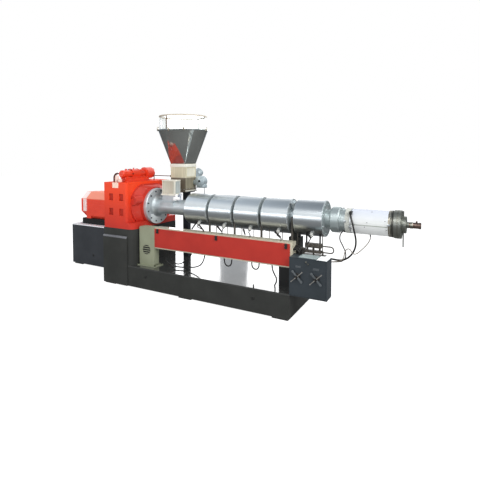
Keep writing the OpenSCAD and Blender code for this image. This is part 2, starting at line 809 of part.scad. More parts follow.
// Feeder drive: a gear head behind the trough and a finned motor that leans up from it
head_r = 58;
head_len = 96;
motor_lean = 32;
feed_motor_r = 60;
feed_motor_len = 175;
fin_step = 16;
module feeder_motor() {
    color("#aeb9b9") {
        bar_y(head_r, feeder_back, feeder_back + head_len, feeder_x, feed_screw_z);
        translate([feeder_x, feeder_back + head_len - 30, feed_screw_z + 12]) rotate([motor_lean - 90, 0, 0]) {
            rotate_extrude() polygon(concat([[0, 0], [feed_motor_r + 18, 40], [feed_motor_r + 18, 54],
                [feed_motor_r - 8, 54]],
                [for (i = [0:5], p = [[0, -8], [4, 0], [10, 0], [12, -8]])
                    [feed_motor_r + p[1], 60 + i * fin_step + p[0]]],
                [[feed_motor_r + 4, feed_motor_len], [feed_motor_r + 4, feed_motor_len + 60],
                [feed_motor_r - 14, feed_motor_len + 76], [0, feed_motor_len + 76]]));
            translate([-46, -feed_motor_r - 34, 70]) cube([92, 60, 84]);
        }
    }
}

// Hopper neck: a square duct between the trough and the hopper
module hopper_neck() {
    color(cream) difference() {
        union() {
            block(feeder_x - neck_w / 2, feeder_x + neck_w / 2, feeder_front, feeder_back,
                trough_z1, collar_z0);
            block(feeder_x - hopper_half - 4, feeder_x + hopper_half + 4,
                feeder_y - hopper_half - 4, feeder_y + hopper_half + 4, collar_z0, hopper_z0);
        }
        block(feeder_x - hopper_half + sheet, feeder_x + hopper_half - sheet,
            feeder_y - hopper_half + sheet, feeder_y + hopper_half - sheet, trough_z1 - 1, hopper_z0 + 1);
    }
}

// Hopper: a square bottom that runs into a round rim
module hopper_form(inset, over) {
    hull() {
        translate([feeder_x, feeder_y, hopper_z0 - over])
            linear_extrude(0.1) square(2 * (hopper_half - inset), center = true);
        translate([feeder_x, feeder_y, hopper_z1 + over - 0.1])
            cylinder(r = hopper_r - inset, h = 0.1);
    }
}
rim_h = 14;
rim_t = 4;
module hopper() {
    color("#6d6f6b") {
        difference() {
            hopper_form(0, 0);
            hopper_form(sheet, 0.2);
        }
        translate([feeder_x, feeder_y, hopper_z1 - rim_h]) difference() {
            cylinder(r = hopper_r + rim_t, h = rim_h);
            translate([0, 0, -1]) cylinder(r = hopper_r - sheet - 3, h = rim_h + 2);
        }
        translate([feeder_x, feeder_y, hopper_z1 - rim_t]) difference() {
            cylinder(r = hopper_r, h = rim_t);
            translate([0, 0, -1]) cylinder(r = sight_r - sight_wall - 12, h = rim_t + 2);
        }
    }
}

module sight_sleeve() {
    color("#dfe8e6", 0.35) translate([feeder_x, feeder_y, hopper_z1]) difference() {
        cylinder(r = sight_r, h = sight_h);
        translate([0, 0, -1]) cylinder(r = sight_r - sight_wall, h = sight_h + 2);
    }
}

module sight_ring() {
    color("#8f8d80") translate([feeder_x, feeder_y, sight_z1]) difference() {
        cylinder(r = sight_r + 8, h = ring_h);
        translate([0, 0, -1]) cylinder(r = sight_r - 12, h = ring_h + 2);
    }
}

// Cable duct on its post and leg; the post has a round vent with slats
post_edge_r = 28;
vent_in = 131;
vent_rise = 478;
vent_x = duct_x0 - vent_in;
vent_z = base_z0 + vent_rise;
vent_disc_r = 64;
slat_step = 21;
vent_slot = 12;
vent_deep = 30;
module duct_post() {
    color("#a2a892") {
        difference() {
            translate([duct_x0 - post_w / 2, post_y1, (base_z1 + foot_t + duct_z1) / 2]) rotate([90, 0, 0])
                linear_extrude(post_y1 - post_y0) round_rect(post_w, duct_z1 - base_z1 - foot_t, post_edge_r);
            for (i = [-3:2])
                intersection() {
                    bar_y(vent_disc_r, post_y0 - 1, post_y0 + vent_deep, vent_x, vent_z);
                    translate([0, 0, vent_z + (i + 0.5) * slat_step])
                        block(vent_x - post_w / 2, vent_x + post_w / 2, post_y0 - 1, post_y0 + vent_deep,
                            -vent_slot / 2, vent_slot / 2);
                }
        }
        block(pedestal_x1 + 4, duct_x0 + 25, post_y0 - 20, post_y1 + 55, base_z1, base_z1 + foot_t);
    }
}

module cable_duct() {
    color(beige) block(duct_x0, duct_x1, duct_y0, duct_y1, duct_z0, duct_z1);
}

module duct_cover() {
    color("#b03c36")
        block(duct_x0, duct_x1 - 30, duct_y0 - cover_t, duct_y0, duct_z0 + cover_edge, duct_z1 - cover_edge);
}

// Spring latches: a plate with a round catch at each end
latch_w = 26;
latch_h = 56;
latch_t = 6;
catch_r = 14;
module duct_latches() {
    color("#201f1f")
        for (t = [0.028, 0.497, 0.962]) {
            x = duct_x0 + t * duct_len;
            y = duct_y0 - cover_t;
            z = duct_z1 - cover_edge - latch_h;
            block(x - latch_w / 2, x + latch_w / 2, y - latch_t, y, z, z + latch_h);
            for (up = [catch_r + 2, latch_h - catch_r - 2])
                bar_y(catch_r, y - 16, y, x, z + up);
        }
}

leg_w = 159;
leg_back = 20;
module duct_leg() {
    color("#2c2d2e") block(base_x1 - leg_w, base_x1, duct_y0, duct_y1 - leg_back, base_z1, duct_z0);
}

// Valve box, bolted to the end of the base, with a raised door
door_edge = 14;
door_t = 4;
module valve_box() {
    color("#3f464d") {
        block(base_x1, box_x1, box_y0, box_y1, box_z0, box_z1);
        block(base_x1 + door_edge, box_x1 - door_edge, box_y0 - door_t, box_y0,
            box_z0 + door_edge, box_z1 - door_edge);
    }
}

// Two cross handles on the door
handle_x = [90, 287];
handle_rise = 209;
handle_z = box_z0 + handle_rise;
handle_reach = 82;
handle_w = 20;
module valve_handles() {
    for (x = handle_x)
        translate([base_x1 + x, box_y0 - door_t, handle_z]) rotate([90, 0, 0]) {
            color(black) cylinder(r = 34, h = 6);
            color("#8d8f8c") {
                cylinder(r = 12, h = 30);
                for (a = [45, -45])
                    rotate([0, 0, a]) translate([0, 0, 22]) {
                        translate([-handle_reach + handle_w / 2, -handle_w / 2, 0])
                            cube([2 * handle_reach - handle_w, handle_w, 8]);
                        for (s = [-1, 1])
                            translate([s * (handle_reach - handle_w / 2), 0, 0])
                                cylinder(r = handle_w / 2 + 3, h = 12);
                    }
            }
        }
}

// Water manifold on a shelf behind the valve box: two valve banks, a bypass bend and a thin pipe
shelf_t = 6;
shelf_len = 290;
shelf_posts = [44, 150, 250];
bank_x = 66;
bank_len = 176;
bridge_at = [12, 80, 150];
stem_at = [30, 88, 146];
bend_r = 33;
small_pipe_r = 7;
thin_pipe_r = 5;
thin_pipe_x = drum_end(4) - 8;
valve_stem_r = 13;
bend_end = 372;
bank_low = header_z - 16;
bank_high = bank_low + 2 * bend_r;
bank_top = bank_high + 24;
module water_manifold() {
    low = bank_low;
    high = bank_high;
    color("#55504a") {
        block(base_x1, base_x1 + shelf_len, box_y1, header_y + 30, low - 30 - shelf_t, low - 30);
        for (x = shelf_posts)
            block(base_x1 + x, base_x1 + x + 12, header_y - 10, header_y + 10, low - 30, low + 10);
        block(base_x1 + bank_x, base_x1 + bank_x + bank_len, header_y - 22, header_y + 22, low - 14, low + 14);
        block(base_x1 + bank_x, base_x1 + bank_x + bank_len, header_y - 22, header_y + 22,
            high - 24, bank_top);
        for (x = bridge_at)
            block(base_x1 + bank_x + x, base_x1 + bank_x + x + 16, header_y - 14, header_y + 14, low, high);
        for (x = stem_at)
            bar_y(valve_stem_r, header_y - 44, header_y - 20, base_x1 + bank_x + x, high);
        bar_x(15, header_x1, base_x1 + bank_x, header_y, header_z);
    }
    color("#8a6a55") {
        for (z = [low, high])
            bar_x(small_pipe_r, base_x1 + bank_x + bank_len, base_x1 + bend_end - bend_r, header_y, z);
        translate([base_x1 + bend_end - bend_r, header_y, low + bend_r]) rotate([90, 0, 0]) rotate([0, 0, -90])
            rotate_extrude(angle = 180) translate([bend_r, 0]) circle(r = small_pipe_r);
        difference() {
            bar_z(thin_pipe_r, low, axis_z, thin_pipe_x, header_y);
            bar_x(drum_r, drum_x(4), drum_end(4), 0, axis_z);
        }
    }
}

// Short leads from the heater plugs to the duct, hoses from the duct to the box, hoses to the last drum
lead_r = 5;
lead_along = [166, 61, 75, 95, -44];
lead_y = [-280, -280, -280, -280, -300];
lead_stub = 22;
box_hose_r = 10;
box_hose_bend = 42;
box_hose_out = 24;
riser_hose_r = 9;
riser_hoses = [78, 226];
module plug_lead(a, b, c, d) {
    rod(a, b, lead_r, $fn = 24);
    rod(b, c, lead_r, $fn = 24);
    rod(c, d, lead_r, $fn = 24);
    for (p = [b, c])
        translate(p) sphere(r = lead_r + 1, $fn = 16);
}
module fixed_leads() {
    color(black) {
        for (i = [0:4]) {
            foot_z = i < 4 ? duct_z1 : box_z1;
            x = drum_x(i) + plug_from + lead_along[i];
            plug_lead(plug_at(i, plug_tip), plug_at(i, plug_tip + lead_stub),
                [x, lead_y[i], foot_z + lead_stub], [x, lead_y[i], foot_z]);
        }
        for (i = [0:2]) {
            y = duct_y0 + 22 + 28 * i;
            z = box_z1 + box_hose_bend + 10 * (i + 1);
            bar_x(box_hose_r, duct_x1, duct_x1 + box_hose_out, y, z);
            elbow_down(box_hose_r, box_hose_bend, duct_x1 + box_hose_out, y, z, $fn = 32);
            bar_z(box_hose_r, box_z1, z - box_hose_bend, duct_x1 + box_hose_out + box_hose_bend, y);
        }
        difference() {
            for (x = riser_hoses)
                bar_z(riser_hose_r, bank_top, axis_z, base_x1 + x, header_y);
            bar_x(drum_r, drum_x(4), drum_end(4), 0, axis_z);
        }
    }
}

// Glands where the free cables leave the valve box and reach the sleeve
gland_h = 16;
gland_r = 15;
gland_in = [84, 50, 22];
gland_down = [60, 26, 58];
neck_gland_y = -60;
neck_gland_z = axis_z - 108;
neck_gland_r = 9;
neck_gland_h = 16;
sleeve_gland_x = sleeve_x0 + 1;
sleeve_gland_w = 24;
sleeve_gland_y = -130;
sleeve_gland_z = axis_z + 83;
wire_gland_in = 195;
wire_gland_x = sleeve_x0 + wire_gland_in;
wire_gland_y = -38;
wire_gland_z = axis_z - 143;
module cable_glands() {
    color(black) {
        for (i = [0:2])
            bar_y(gland_r, box_y1, box_y1 + gland_h, box_x1 - gland_in[i], box_z1 - gland_down[i]);
        difference() {
            bar_x(neck_gland_r, neck_x1 - neck_gland_h, neck_x1, neck_gland_y, neck_gland_z);
            bar_x(neck_r, collar_x1, neck_x1 + 1, 0, axis_z);
        }
        difference() {
            block(sleeve_gland_x, sleeve_gland_x + sleeve_gland_w, sleeve_gland_y, -76, sleeve_gland_z,
                sleeve_gland_z + 32);
            bar_x(sleeve_r, sleeve_x0, sleeve_x1, 0, axis_z);
        }
        difference() {
            bar_z(6, wire_gland_z, axis_z, wire_gland_x, wire_gland_y);
            bar_x(sleeve_r, sleeve_x0, sleeve_x1, 0, axis_z);
        }
    }
}

// Free cables: the points that each one follows
sleeve_route = [[2462, -258, 644], [2462, -236, 644], [2476, -206, 640], [2508, -180, 632], [2552, -166, 626],
    [2600, -160, 632], [2646, -159, 658], [2684, -158, 698], [2712, -157, 750], [2724, -156, 806],
    [2722, -156, 862], [2711, -156, 917], [2698, -154, 970], [2684, -146, 1020], [2671, -136, 1054],
    [2662, -122, 1080], [2661, -118, 1090], [2661, -118, 1098]];
neck_route = [[2428, -258, 610], [2428, -238, 610], [2448, -218, 608], [2494, -206, 610], [2544, -198, 614],
    [2594, -192, 626], [2626, -186, 656], [2630, -178, 700], [2615, -166, 740], [2586, -146, 784],
    [2560, -126, 820], [2550, -106, 850], [2552, -86, 878], [2562, -68, 898], [2576, -60, 907],
    [2584, -60, 907]];
wire_route = [[2490, -258, 612], [2490, -238, 612], [2506, -222, 616], [2548, -210, 622], [2590, -206, 636],
    [2614, -202, 664], [2620, -198, 704], [2632, -194, 740], [2656, -192, 760], [2682, -191, 750],
    [2696, -190, 724], [2716, -186, 708], [2742, -176, 740], [2774, -142, 766], [2806, -96, 790],
    [2832, -56, 820], [2843, -40, 852], [2843, -38, 872]];
loop_1 = [[1260, -280, 523], [1260, -280, 494], [1270, -280, 456], [1308, -280, 422], [1346, -280, 456],
    [1358, -280, 494], [1358, -280, 523]];
loop_2 = [[1616, -280, 523], [1616, -280, 498], [1626, -280, 464], [1660, -280, 434], [1694, -280, 464],
    [1706, -280, 498], [1706, -280, 523]];
riser_route = [[1872, -300, 523], [1872, -300, 500], [1884, -308, 462], [1908, -320, 428], [1938, -340, 396],
    [1946, -358, 360], [1934, -372, 326], [1944, -386, 304], [1944, -386, 283]];
floor_route = [[388, -290, 523], [388, -290, 480], [386, -286, 420], [406, -278, 364], [470, -268, 322],
    [560, -252, 306], [650, -236, 308], [740, -232, 318], [826, -236, 336], [900, -244, 372],
    [950, -256, 432], [980, -274, 494], [980, -274, 523]];
short_route = [[470, -300, 523], [470, -300, 490], [478, -296, 430], [512, -290, 380], [566, -286, 354],
    [630, -286, 362], [694, -288, 400], [756, -292, 452], [800, -296, 494], [800, -296, 523]];
module sleeve_cable() {
    color(black) swept_tube(sleeve_route, 9);
}
module neck_cable() {
    color(black) swept_tube(neck_route, 6);
}
module signal_wire() {
    color(black) swept_tube(wire_route, 5);
}
module duct_loop_1() {
    color(black) swept_tube(loop_1, 7);
}
module duct_loop_2() {
    color(black) swept_tube(loop_2, 7);
}
module riser_cable() {
    color(black) swept_tube(riser_route, 7);
}
module floor_cable() {
    color(black) swept_tube(floor_route, 8);
}
module short_cable() {
    color(black) swept_tube(short_route, 7);
}

levelling_pads();
base_frame();
base_top_plate();
motor_stand();
gearbox_pedestal();
motor_rails();
motor_body();
motor_end_bells();
coupling_guard();
gearbox_housing();
bearing_housing();
lube_pump();
lube_pipe();
barrel();
barrel_flange();
heater_drum_1();
heater_drum_2();
heater_drum_3();
heater_drum_4();
heater_drum_5();
drum_end_plates();
heater_plugs();
cooling_pipes();
barrel_support();
discharge_neck();
insulated_sleeve();
sleeve_rings();
end_flange();
end_disc();
outlet_pipe();
feed_chute();
throat_clamp();
feeder_column();
feeder_trough();
feeder_motor();
hopper_neck();
hopper();
sight_sleeve();
sight_ring();
duct_post();
cable_duct();
duct_cover();
duct_latches();
duct_leg();
valve_box();
water_manifold();
valve_handles();
fixed_leads();
cable_glands();
sleeve_cable();
neck_cable();
signal_wire();
duct_loop_1();
duct_loop_2();
riser_cable();
floor_cable();
short_cable();
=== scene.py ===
# %% [markdown]
# # A plastic extruder, dressed and lit
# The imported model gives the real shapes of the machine: base, gearbox, barrel, feeder and
# duct. This lesson adds what the eye reads as real: finishes, cords, bolts and thin sheet
# details. Lengths are in metres, in the model's own frame, unless a name says millimetres.

# %% Load the frame
from math import atan2, cos, hypot, pi, radians, sin
import bpy
from mathutils import Matrix, Vector


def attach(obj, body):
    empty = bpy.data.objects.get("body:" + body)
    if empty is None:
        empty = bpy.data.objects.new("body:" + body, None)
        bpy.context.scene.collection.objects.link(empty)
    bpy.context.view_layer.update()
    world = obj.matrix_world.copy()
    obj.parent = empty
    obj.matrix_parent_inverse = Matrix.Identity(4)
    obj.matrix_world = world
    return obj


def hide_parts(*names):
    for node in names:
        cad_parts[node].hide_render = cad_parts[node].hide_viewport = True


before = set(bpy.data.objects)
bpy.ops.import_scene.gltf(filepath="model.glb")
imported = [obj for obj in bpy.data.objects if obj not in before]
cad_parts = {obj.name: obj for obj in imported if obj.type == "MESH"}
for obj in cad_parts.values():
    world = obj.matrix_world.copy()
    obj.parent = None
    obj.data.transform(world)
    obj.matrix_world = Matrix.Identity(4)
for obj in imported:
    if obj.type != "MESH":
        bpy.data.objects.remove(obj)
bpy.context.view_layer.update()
bpy.ops.object.select_all(action="DESELECT")
scene = bpy.context.scene
scene.view_settings.view_transform = "Standard"

# %% [markdown]
# ## Camera
# The photograph was taken from eye height, near the outlet end, looking back towards the
# motor. The lens and the place come from straightening up the machine's long edges.

# %% Camera
PIXELS = 480
SENSOR_MM = 36.0
FOCAL_PX = 383.81
CENTRE_PX = (243.09, 172.20)
CAMERA_AT = (3.5283, -4.0609, 1.6895)
PITCH_DOWN = 2.376
YAW_LEFT = 28.142
FARTHEST = 60


def make_camera():
    data = bpy.data.cameras.new("camera")
    data.sensor_width = SENSOR_MM
    data.lens = FOCAL_PX / PIXELS * SENSOR_MM
    data.shift_x = (PIXELS / 2 - CENTRE_PX[0]) / PIXELS
    data.shift_y = (CENTRE_PX[1] - PIXELS / 2) / PIXELS
    data.clip_end = FARTHEST
    camera = bpy.data.objects.new("camera", data)
    scene.collection.objects.link(camera)
    camera.location = CAMERA_AT
    camera.rotation_euler = (radians(90 - PITCH_DOWN), 0, radians(YAW_LEFT))
    scene.camera = camera


make_camera()

# %% [markdown]
# ## Cables that hang free
# Each cable is bent by hand when it is fitted: straight out of its gland, down under its own
# weight, up to where it is plugged in. A curve with a round bevel follows the same points as
# the model's plain tube, and a smooth line through them takes out the corners.

# %% Cable routes: a diameter and points, in millimetres
ROUTES_MM = {
    "sleeve_cable": (18, [
        (2462, -258, 644), (2462, -236, 644), (2476, -206, 640), (2508, -180, 632),
        (2552, -166, 626), (2600, -160, 632), (2646, -159, 658), (2684, -158, 698),
        (2712, -157, 750), (2724, -156, 806), (2722, -156, 862), (2711, -156, 917),
        (2698, -154, 970), (2684, -146, 1020), (2671, -136, 1054), (2662, -122, 1080),
        (2661, -118, 1090), (2661, -118, 1098)]),
    "neck_cable": (12, [
        (2428, -258, 610), (2428, -238, 610), (2448, -218, 608), (2494, -206, 610),
        (2544, -198, 614), (2594, -192, 626), (2626, -186, 656), (2630, -178, 700),
        (2615, -166, 740), (2586, -146, 784), (2560, -126, 820), (2550, -106, 850),
        (2552, -86, 878), (2562, -68, 898), (2576, -60, 907), (2584, -60, 907)]),
    "signal_wire": (10, [
        (2490, -258, 612), (2490, -238, 612), (2506, -222, 616), (2548, -210, 622),
        (2590, -206, 636), (2614, -202, 664), (2620, -198, 704), (2632, -194, 740),
        (2656, -192, 760), (2680, -191, 750), (2694, -190, 726), (2716, -186, 711),
        (2746, -172, 722), (2778, -140, 752), (2808, -98, 784), (2832, -56, 820),
        (2843, -40, 852), (2843, -38, 872)]),
    "duct_loop_1": (14, [
        (1260, -280, 523), (1260, -280, 494), (1264, -280, 462), (1280, -280, 435),
        (1309, -280, 424), (1338, -280, 435), (1354, -280, 462), (1358, -280, 494),
        (1358, -280, 523)]),
    "duct_loop_2": (14, [
        (1616, -280, 523), (1616, -280, 498), (1620, -280, 468), (1636, -280, 444),
        (1661, -280, 436), (1686, -280, 444), (1702, -280, 468), (1706, -280, 498),
        (1706, -280, 523)]),
    "riser_cable": (14, [
        (1872, -300, 523), (1872, -300, 500), (1884, -308, 462), (1908, -320, 428),
        (1938, -340, 396), (1946, -358, 360), (1934, -372, 326), (1944, -386, 304),
        (1944, -386, 283)]),
    "floor_cable": (16, [
        (388, -290, 523), (388, -290, 480), (386, -286, 420), (406, -278, 364),
        (470, -268, 322), (560, -252, 306), (650, -236, 308), (740, -232, 318),
        (826, -236, 336), (900, -244, 372), (950, -256, 432), (980, -274, 494),
        (980, -274, 523)]),
    "short_cable": (14, [
        (470, -300, 523), (470, -300, 490), (478, -296, 430), (512, -290, 380),
        (566, -286, 354), (630, -286, 362), (694, -288, 400), (756, -292, 452),
        (800, -296, 494), (800, -296, 523)]),
}
MOST_POINTS = 38
MOST_STEPS = 4


# %% Smooth line through the points of a route
def between(a, b, c, d, t):
    return b + 0.5 * t * (c - a + t * (2 * a - 5 * b + 4 * c - d + t * (3 * (b - c) + d - a)))


def smooth_route(points):
    steps = max(1, min(MOST_STEPS, (MOST_POINTS - 1) // (len(points) - 1)))
    ends = [Vector(points[0])] + [Vector(p) for p in points] + [Vector(points[-1])]
    line = [between(*ends[i:i + 4], k / steps) for i in range(len(points) - 1)
            for k in range(steps)]
    return line + [Vector(points[-1])]


def lay_cable(name, diameter_mm, points_mm):
    diameter = diameter_mm / 1000
    points = [tuple(mm / 1000 for mm in point) for point in points_mm]
    route = smooth_route(points)
    curve = bpy.data.curves.new(name + "_line", "CURVE")
    curve.dimensions = "3D"
    curve.bevel_depth = 1.0  # a unit circle: each point's radius below makes it the cable's
    curve.bevel_resolution = 4
    curve.use_fill_caps = True
    spline = curve.splines.new("POLY")
    spline.points.add(len(route) - 1)
    for point, place in zip(spline.points, route):
        point.co = (*place, 1)
        point.radius = diameter / 2
    cable = bpy.data.objects.new(name + "_line", curve)
    scene.collection.objects.link(cable)
    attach(cable, "root")
    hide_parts(name)
    return cable


cables = {name: lay_cable(name, *facts) for name, facts in ROUTES_MM.items()}

# %% [markdown]
# ## Colours and nodes
# A colour is written as it looks on the screen, as a hex value, and one function turns it
# into the linear values that shaders add up. One more small function adds a node with its
# settings and its inputs, so that each finish below reads like a recipe.

# %% Colour and node helpers
def linear(hex_colour):
    parts = [int(hex_colour[i:i + 2], 16) / 255 for i in (1, 3, 5)]
    curve = [p / 12.92 if p <= 0.04045 else ((p + 0.055) / 1.055) ** 2.4 for p in parts]
    return (*curve, 1.0)


def feed(tree, node, inputs):
    """give a node its inputs: a socket is linked, a plain value is set"""
    for name, value in inputs.items():
        if isinstance(value, bpy.types.NodeSocket):
            tree.links.new(value, node.inputs[name])
        else:
            node.inputs[name].default_value = value


def add_node(tree, kind, inputs={}, **settings):
    node = tree.nodes.new("ShaderNode" + kind)
    for name, value in settings.items():
        setattr(node, name, value)
    feed(tree, node, inputs)
    return node


def start_material(name, colour, roughness, metallic=0.0, **others):
    material = bpy.data.materials.new(name)
    material.use_nodes = True
    tree = material.node_tree
    shader = tree.nodes["Principled BSDF"]
    others = {key.replace("_", " "): value for key, value in others.items()}
    feed(tree, shader, {"Base Color": linear(colour), "Roughness": roughness,
        "Metallic": metallic, **others})
    return material, tree, shader


# %% [markdown]
# ## What several finishes share
# A finish is never one flat colour: paint has soft patches of dust and of age, sheet has
# grain, castings have a rough skin. Each pattern's size is given in millimetres, and noise
# is stretched by a Mapping node where the real marks run one way. Colour and gloss then
# drift together between two tones.

# %% Grain and drift
SPOTS = {"From Min": 0.35, "From Max": 0.65}


def grain(tree, size_mm, stretch=(1, 1, 1), detail=3.0):
    """noise whose spots are about size_mm wide, in the object's own frame"""
    where = add_node(tree, "TexCoord")
    mapped = add_node(tree, "Mapping", {
        "Vector": where.outputs["Object"], "Scale": [s * 1000 / size_mm for s in stretch]})
    noise = add_node(tree, "TexNoise", {
        "Vector": mapped.outputs["Vector"], "Scale": 1.0, "Detail": detail})
    return noise.outputs["Fac"]


def drift(tree, shader, spots, tone, swing, skin=None, depth_mm=0):
    """colour and gloss move together from the shader's own to a second tone, and a skin, a
    second pattern, stands up from the surface by its depth"""
    first = tuple(shader.inputs["Base Color"].default_value)
    rough = shader.inputs["Roughness"].default_value
    amount = add_node(tree, "MapRange", {"Value": spots, **SPOTS})
    mix = add_node(tree, "Mix", {
        "Factor": amount.outputs["Result"], "A": first, "B": linear(tone)}, data_type="RGBA")
    gloss = add_node(tree, "MapRange", {
        "Value": spots, **SPOTS, "To Min": rough - swing, "To Max": rough + swing})
    feed(tree, shader, {
        "Base Color": mix.outputs["Result"], "Roughness": gloss.outputs["Result"]})
    if skin:
        relief = add_node(tree, "Bump", {"Height": skin, "Distance": depth_mm / 1000})
        feed(tree, shader, {"Normal": relief.outputs["Normal"]})


# %% [markdown]
# ## Painted light along the height
# A second colour blends in along the height, and it is painted light. The gearbox turns paler and
# more orange towards its top, as if lit from above; the motor gets a pale band on its top chamfer,
# a painted highlight; the white sleeve and the throat clamp turn towards their tops the bluish grey
# of the overhead sky, a painted reflection.

# %% Second tone
def painted_light_by_height(material, tone, start, end):
    """painted light: a second colour that comes in between two heights"""
    tree = material.node_tree
    shader = tree.nodes["Principled BSDF"]
    under = shader.inputs["Base Color"].links[0].from_socket
    where = add_node(tree, "TexCoord")
    split = add_node(tree, "SeparateXYZ", {"Vector": where.outputs["Object"]})
    amount = add_node(tree, "MapRange", {
        "Value": split.outputs["Z"], "From Min": start, "From Max": end})
    mix = add_node(tree, "Mix", {
        "Factor": amount.outputs["Result"], "A": under, "B": linear(tone)}, data_type="RGBA")
    feed(tree, shader, {"Base Color": mix.outputs["Result"]})
    return material


# %% [markdown]
# ## Painted finishes
# The machine is sprayed with enamel. On castings the skin below shows as a fine orange-peel
# relief, on folded sheet it is smoother, and on the beam's top plate it is a thick wet coat
# that mirrors what stands behind it. Dark paints get a low specular level, because a
# workshop's dull paint shows its own colour more than the sky's.

# %% Enamel paints
PATCH_MM = 260


def enamel(name, colour, patch, roughness=0.4, gloss=0.3, peel_mm=9, depth_mm=0.2, coat=0.0):
    material, tree, shader = start_material(
        name, colour, roughness, Coat_Weight=coat, Coat_Roughness=0.08, Specular_IOR_Level=gloss)
    drift(tree, shader, grain(tree, PATCH_MM, detail=4), patch, 0.06,
          skin=grain(tree, peel_mm, detail=2), depth_mm=depth_mm)
    return material


# %% Streaked sheet
def streaked_sheet(name, colour, streak, streak_mm=14, metallic=0.0):
    """folded sheet whose rolling marks run upwards, as on the chute and the feeder"""
    material, tree, shader = start_material(
        name, colour, 0.42, metallic, Specular_IOR_Level=0.4)
    marks = grain(tree, streak_mm, stretch=(1, 1, 0.03))
    drift(tree, shader, marks, streak, 0.08, skin=marks, depth_mm=0.3)
    return material


# %% [markdown]
# ## Bare metals
# The heaters are wrapped in brushed stainless sheet: its hair lines run round the drum, so
# the light stretches into a band along it. End plates are turned on a lathe, which gives
# rings and a bow-tie of light. The hopper is bright-rolled and almost a mirror.

# %% Metals
AXIS_Z = 1.015
RING_MM = 3.5


def brushed_sheet(name, colour, line):
    material, tree, shader = start_material(name, colour, 0.3, metallic=1.0)
    lines = grain(tree, 3, stretch=(1, 0.02, 0.02), detail=2)
    drift(tree, shader, lines, line, 0.01, skin=lines, depth_mm=0.006)
    return material


def plain_metal(name, colour, dull, roughness=0.35, grain_mm=40, relief_mm=0.03, shine=1.0):
    """shine below 1 leaves a film of dust, which veils what the metal mirrors"""
    material, tree, shader = start_material(name, colour, roughness, metallic=shine)
    drift(tree, shader, grain(tree, grain_mm, detail=4), dull, 0.06,
          skin=grain(tree, 4, detail=2), depth_mm=relief_mm)
    return material


# %% Turned metal
def turned_metal(name, colour, dull, roughness=0.42, shine=1.0):
    """lathe-cut faces: fine rings round the screw axis, which draw light into a bow-tie"""
    material, tree, shader = start_material(name, colour, roughness, metallic=shine)
    where = add_node(tree, "TexCoord")
    off_axis = add_node(tree, "VectorMath", {
        0: where.outputs["Object"], 1: (0, 0, AXIS_Z)}, operation="SUBTRACT")
    flat = add_node(tree, "VectorMath", {
        0: off_axis.outputs["Vector"], 1: (0, 1, 1)}, operation="MULTIPLY")
    radius = add_node(tree, "VectorMath", {0: flat.outputs["Vector"]}, operation="LENGTH")
    count = add_node(tree, "Math", {
        0: radius.outputs["Value"], 1: 1000 / RING_MM}, operation="MULTIPLY")
    rings = add_node(tree, "TexNoise", {
        "W": count.outputs[0], "Scale": 1.0, "Detail": 2.0}, noise_dimensions="1D")
    drift(tree, shader, grain(tree, 120), dull, 0.04, skin=rings.outputs["Fac"], depth_mm=0.06)
    return material


# %% Clear and soft finishes
def clear_acrylic():
    """clear tube: almost unseen, apart from a faint haze that drifts over it"""
    material, tree, shader = start_material(
        "clear_acrylic", "#fbfdfc", 0.04, Transmission_Weight=1.0, IOR=1.49)
    drift(tree, shader, grain(tree, 300, detail=1), "#f3f8f6", 0.01)
    return material


def moulded_plastic(name, colour, worn):
    material, tree, shader = start_material(name, colour, 0.45, Specular_IOR_Level=0.3)
    drift(tree, shader, grain(tree, 30), worn, 0.05, skin=grain(tree, 2, detail=1), depth_mm=0.05)
    return material


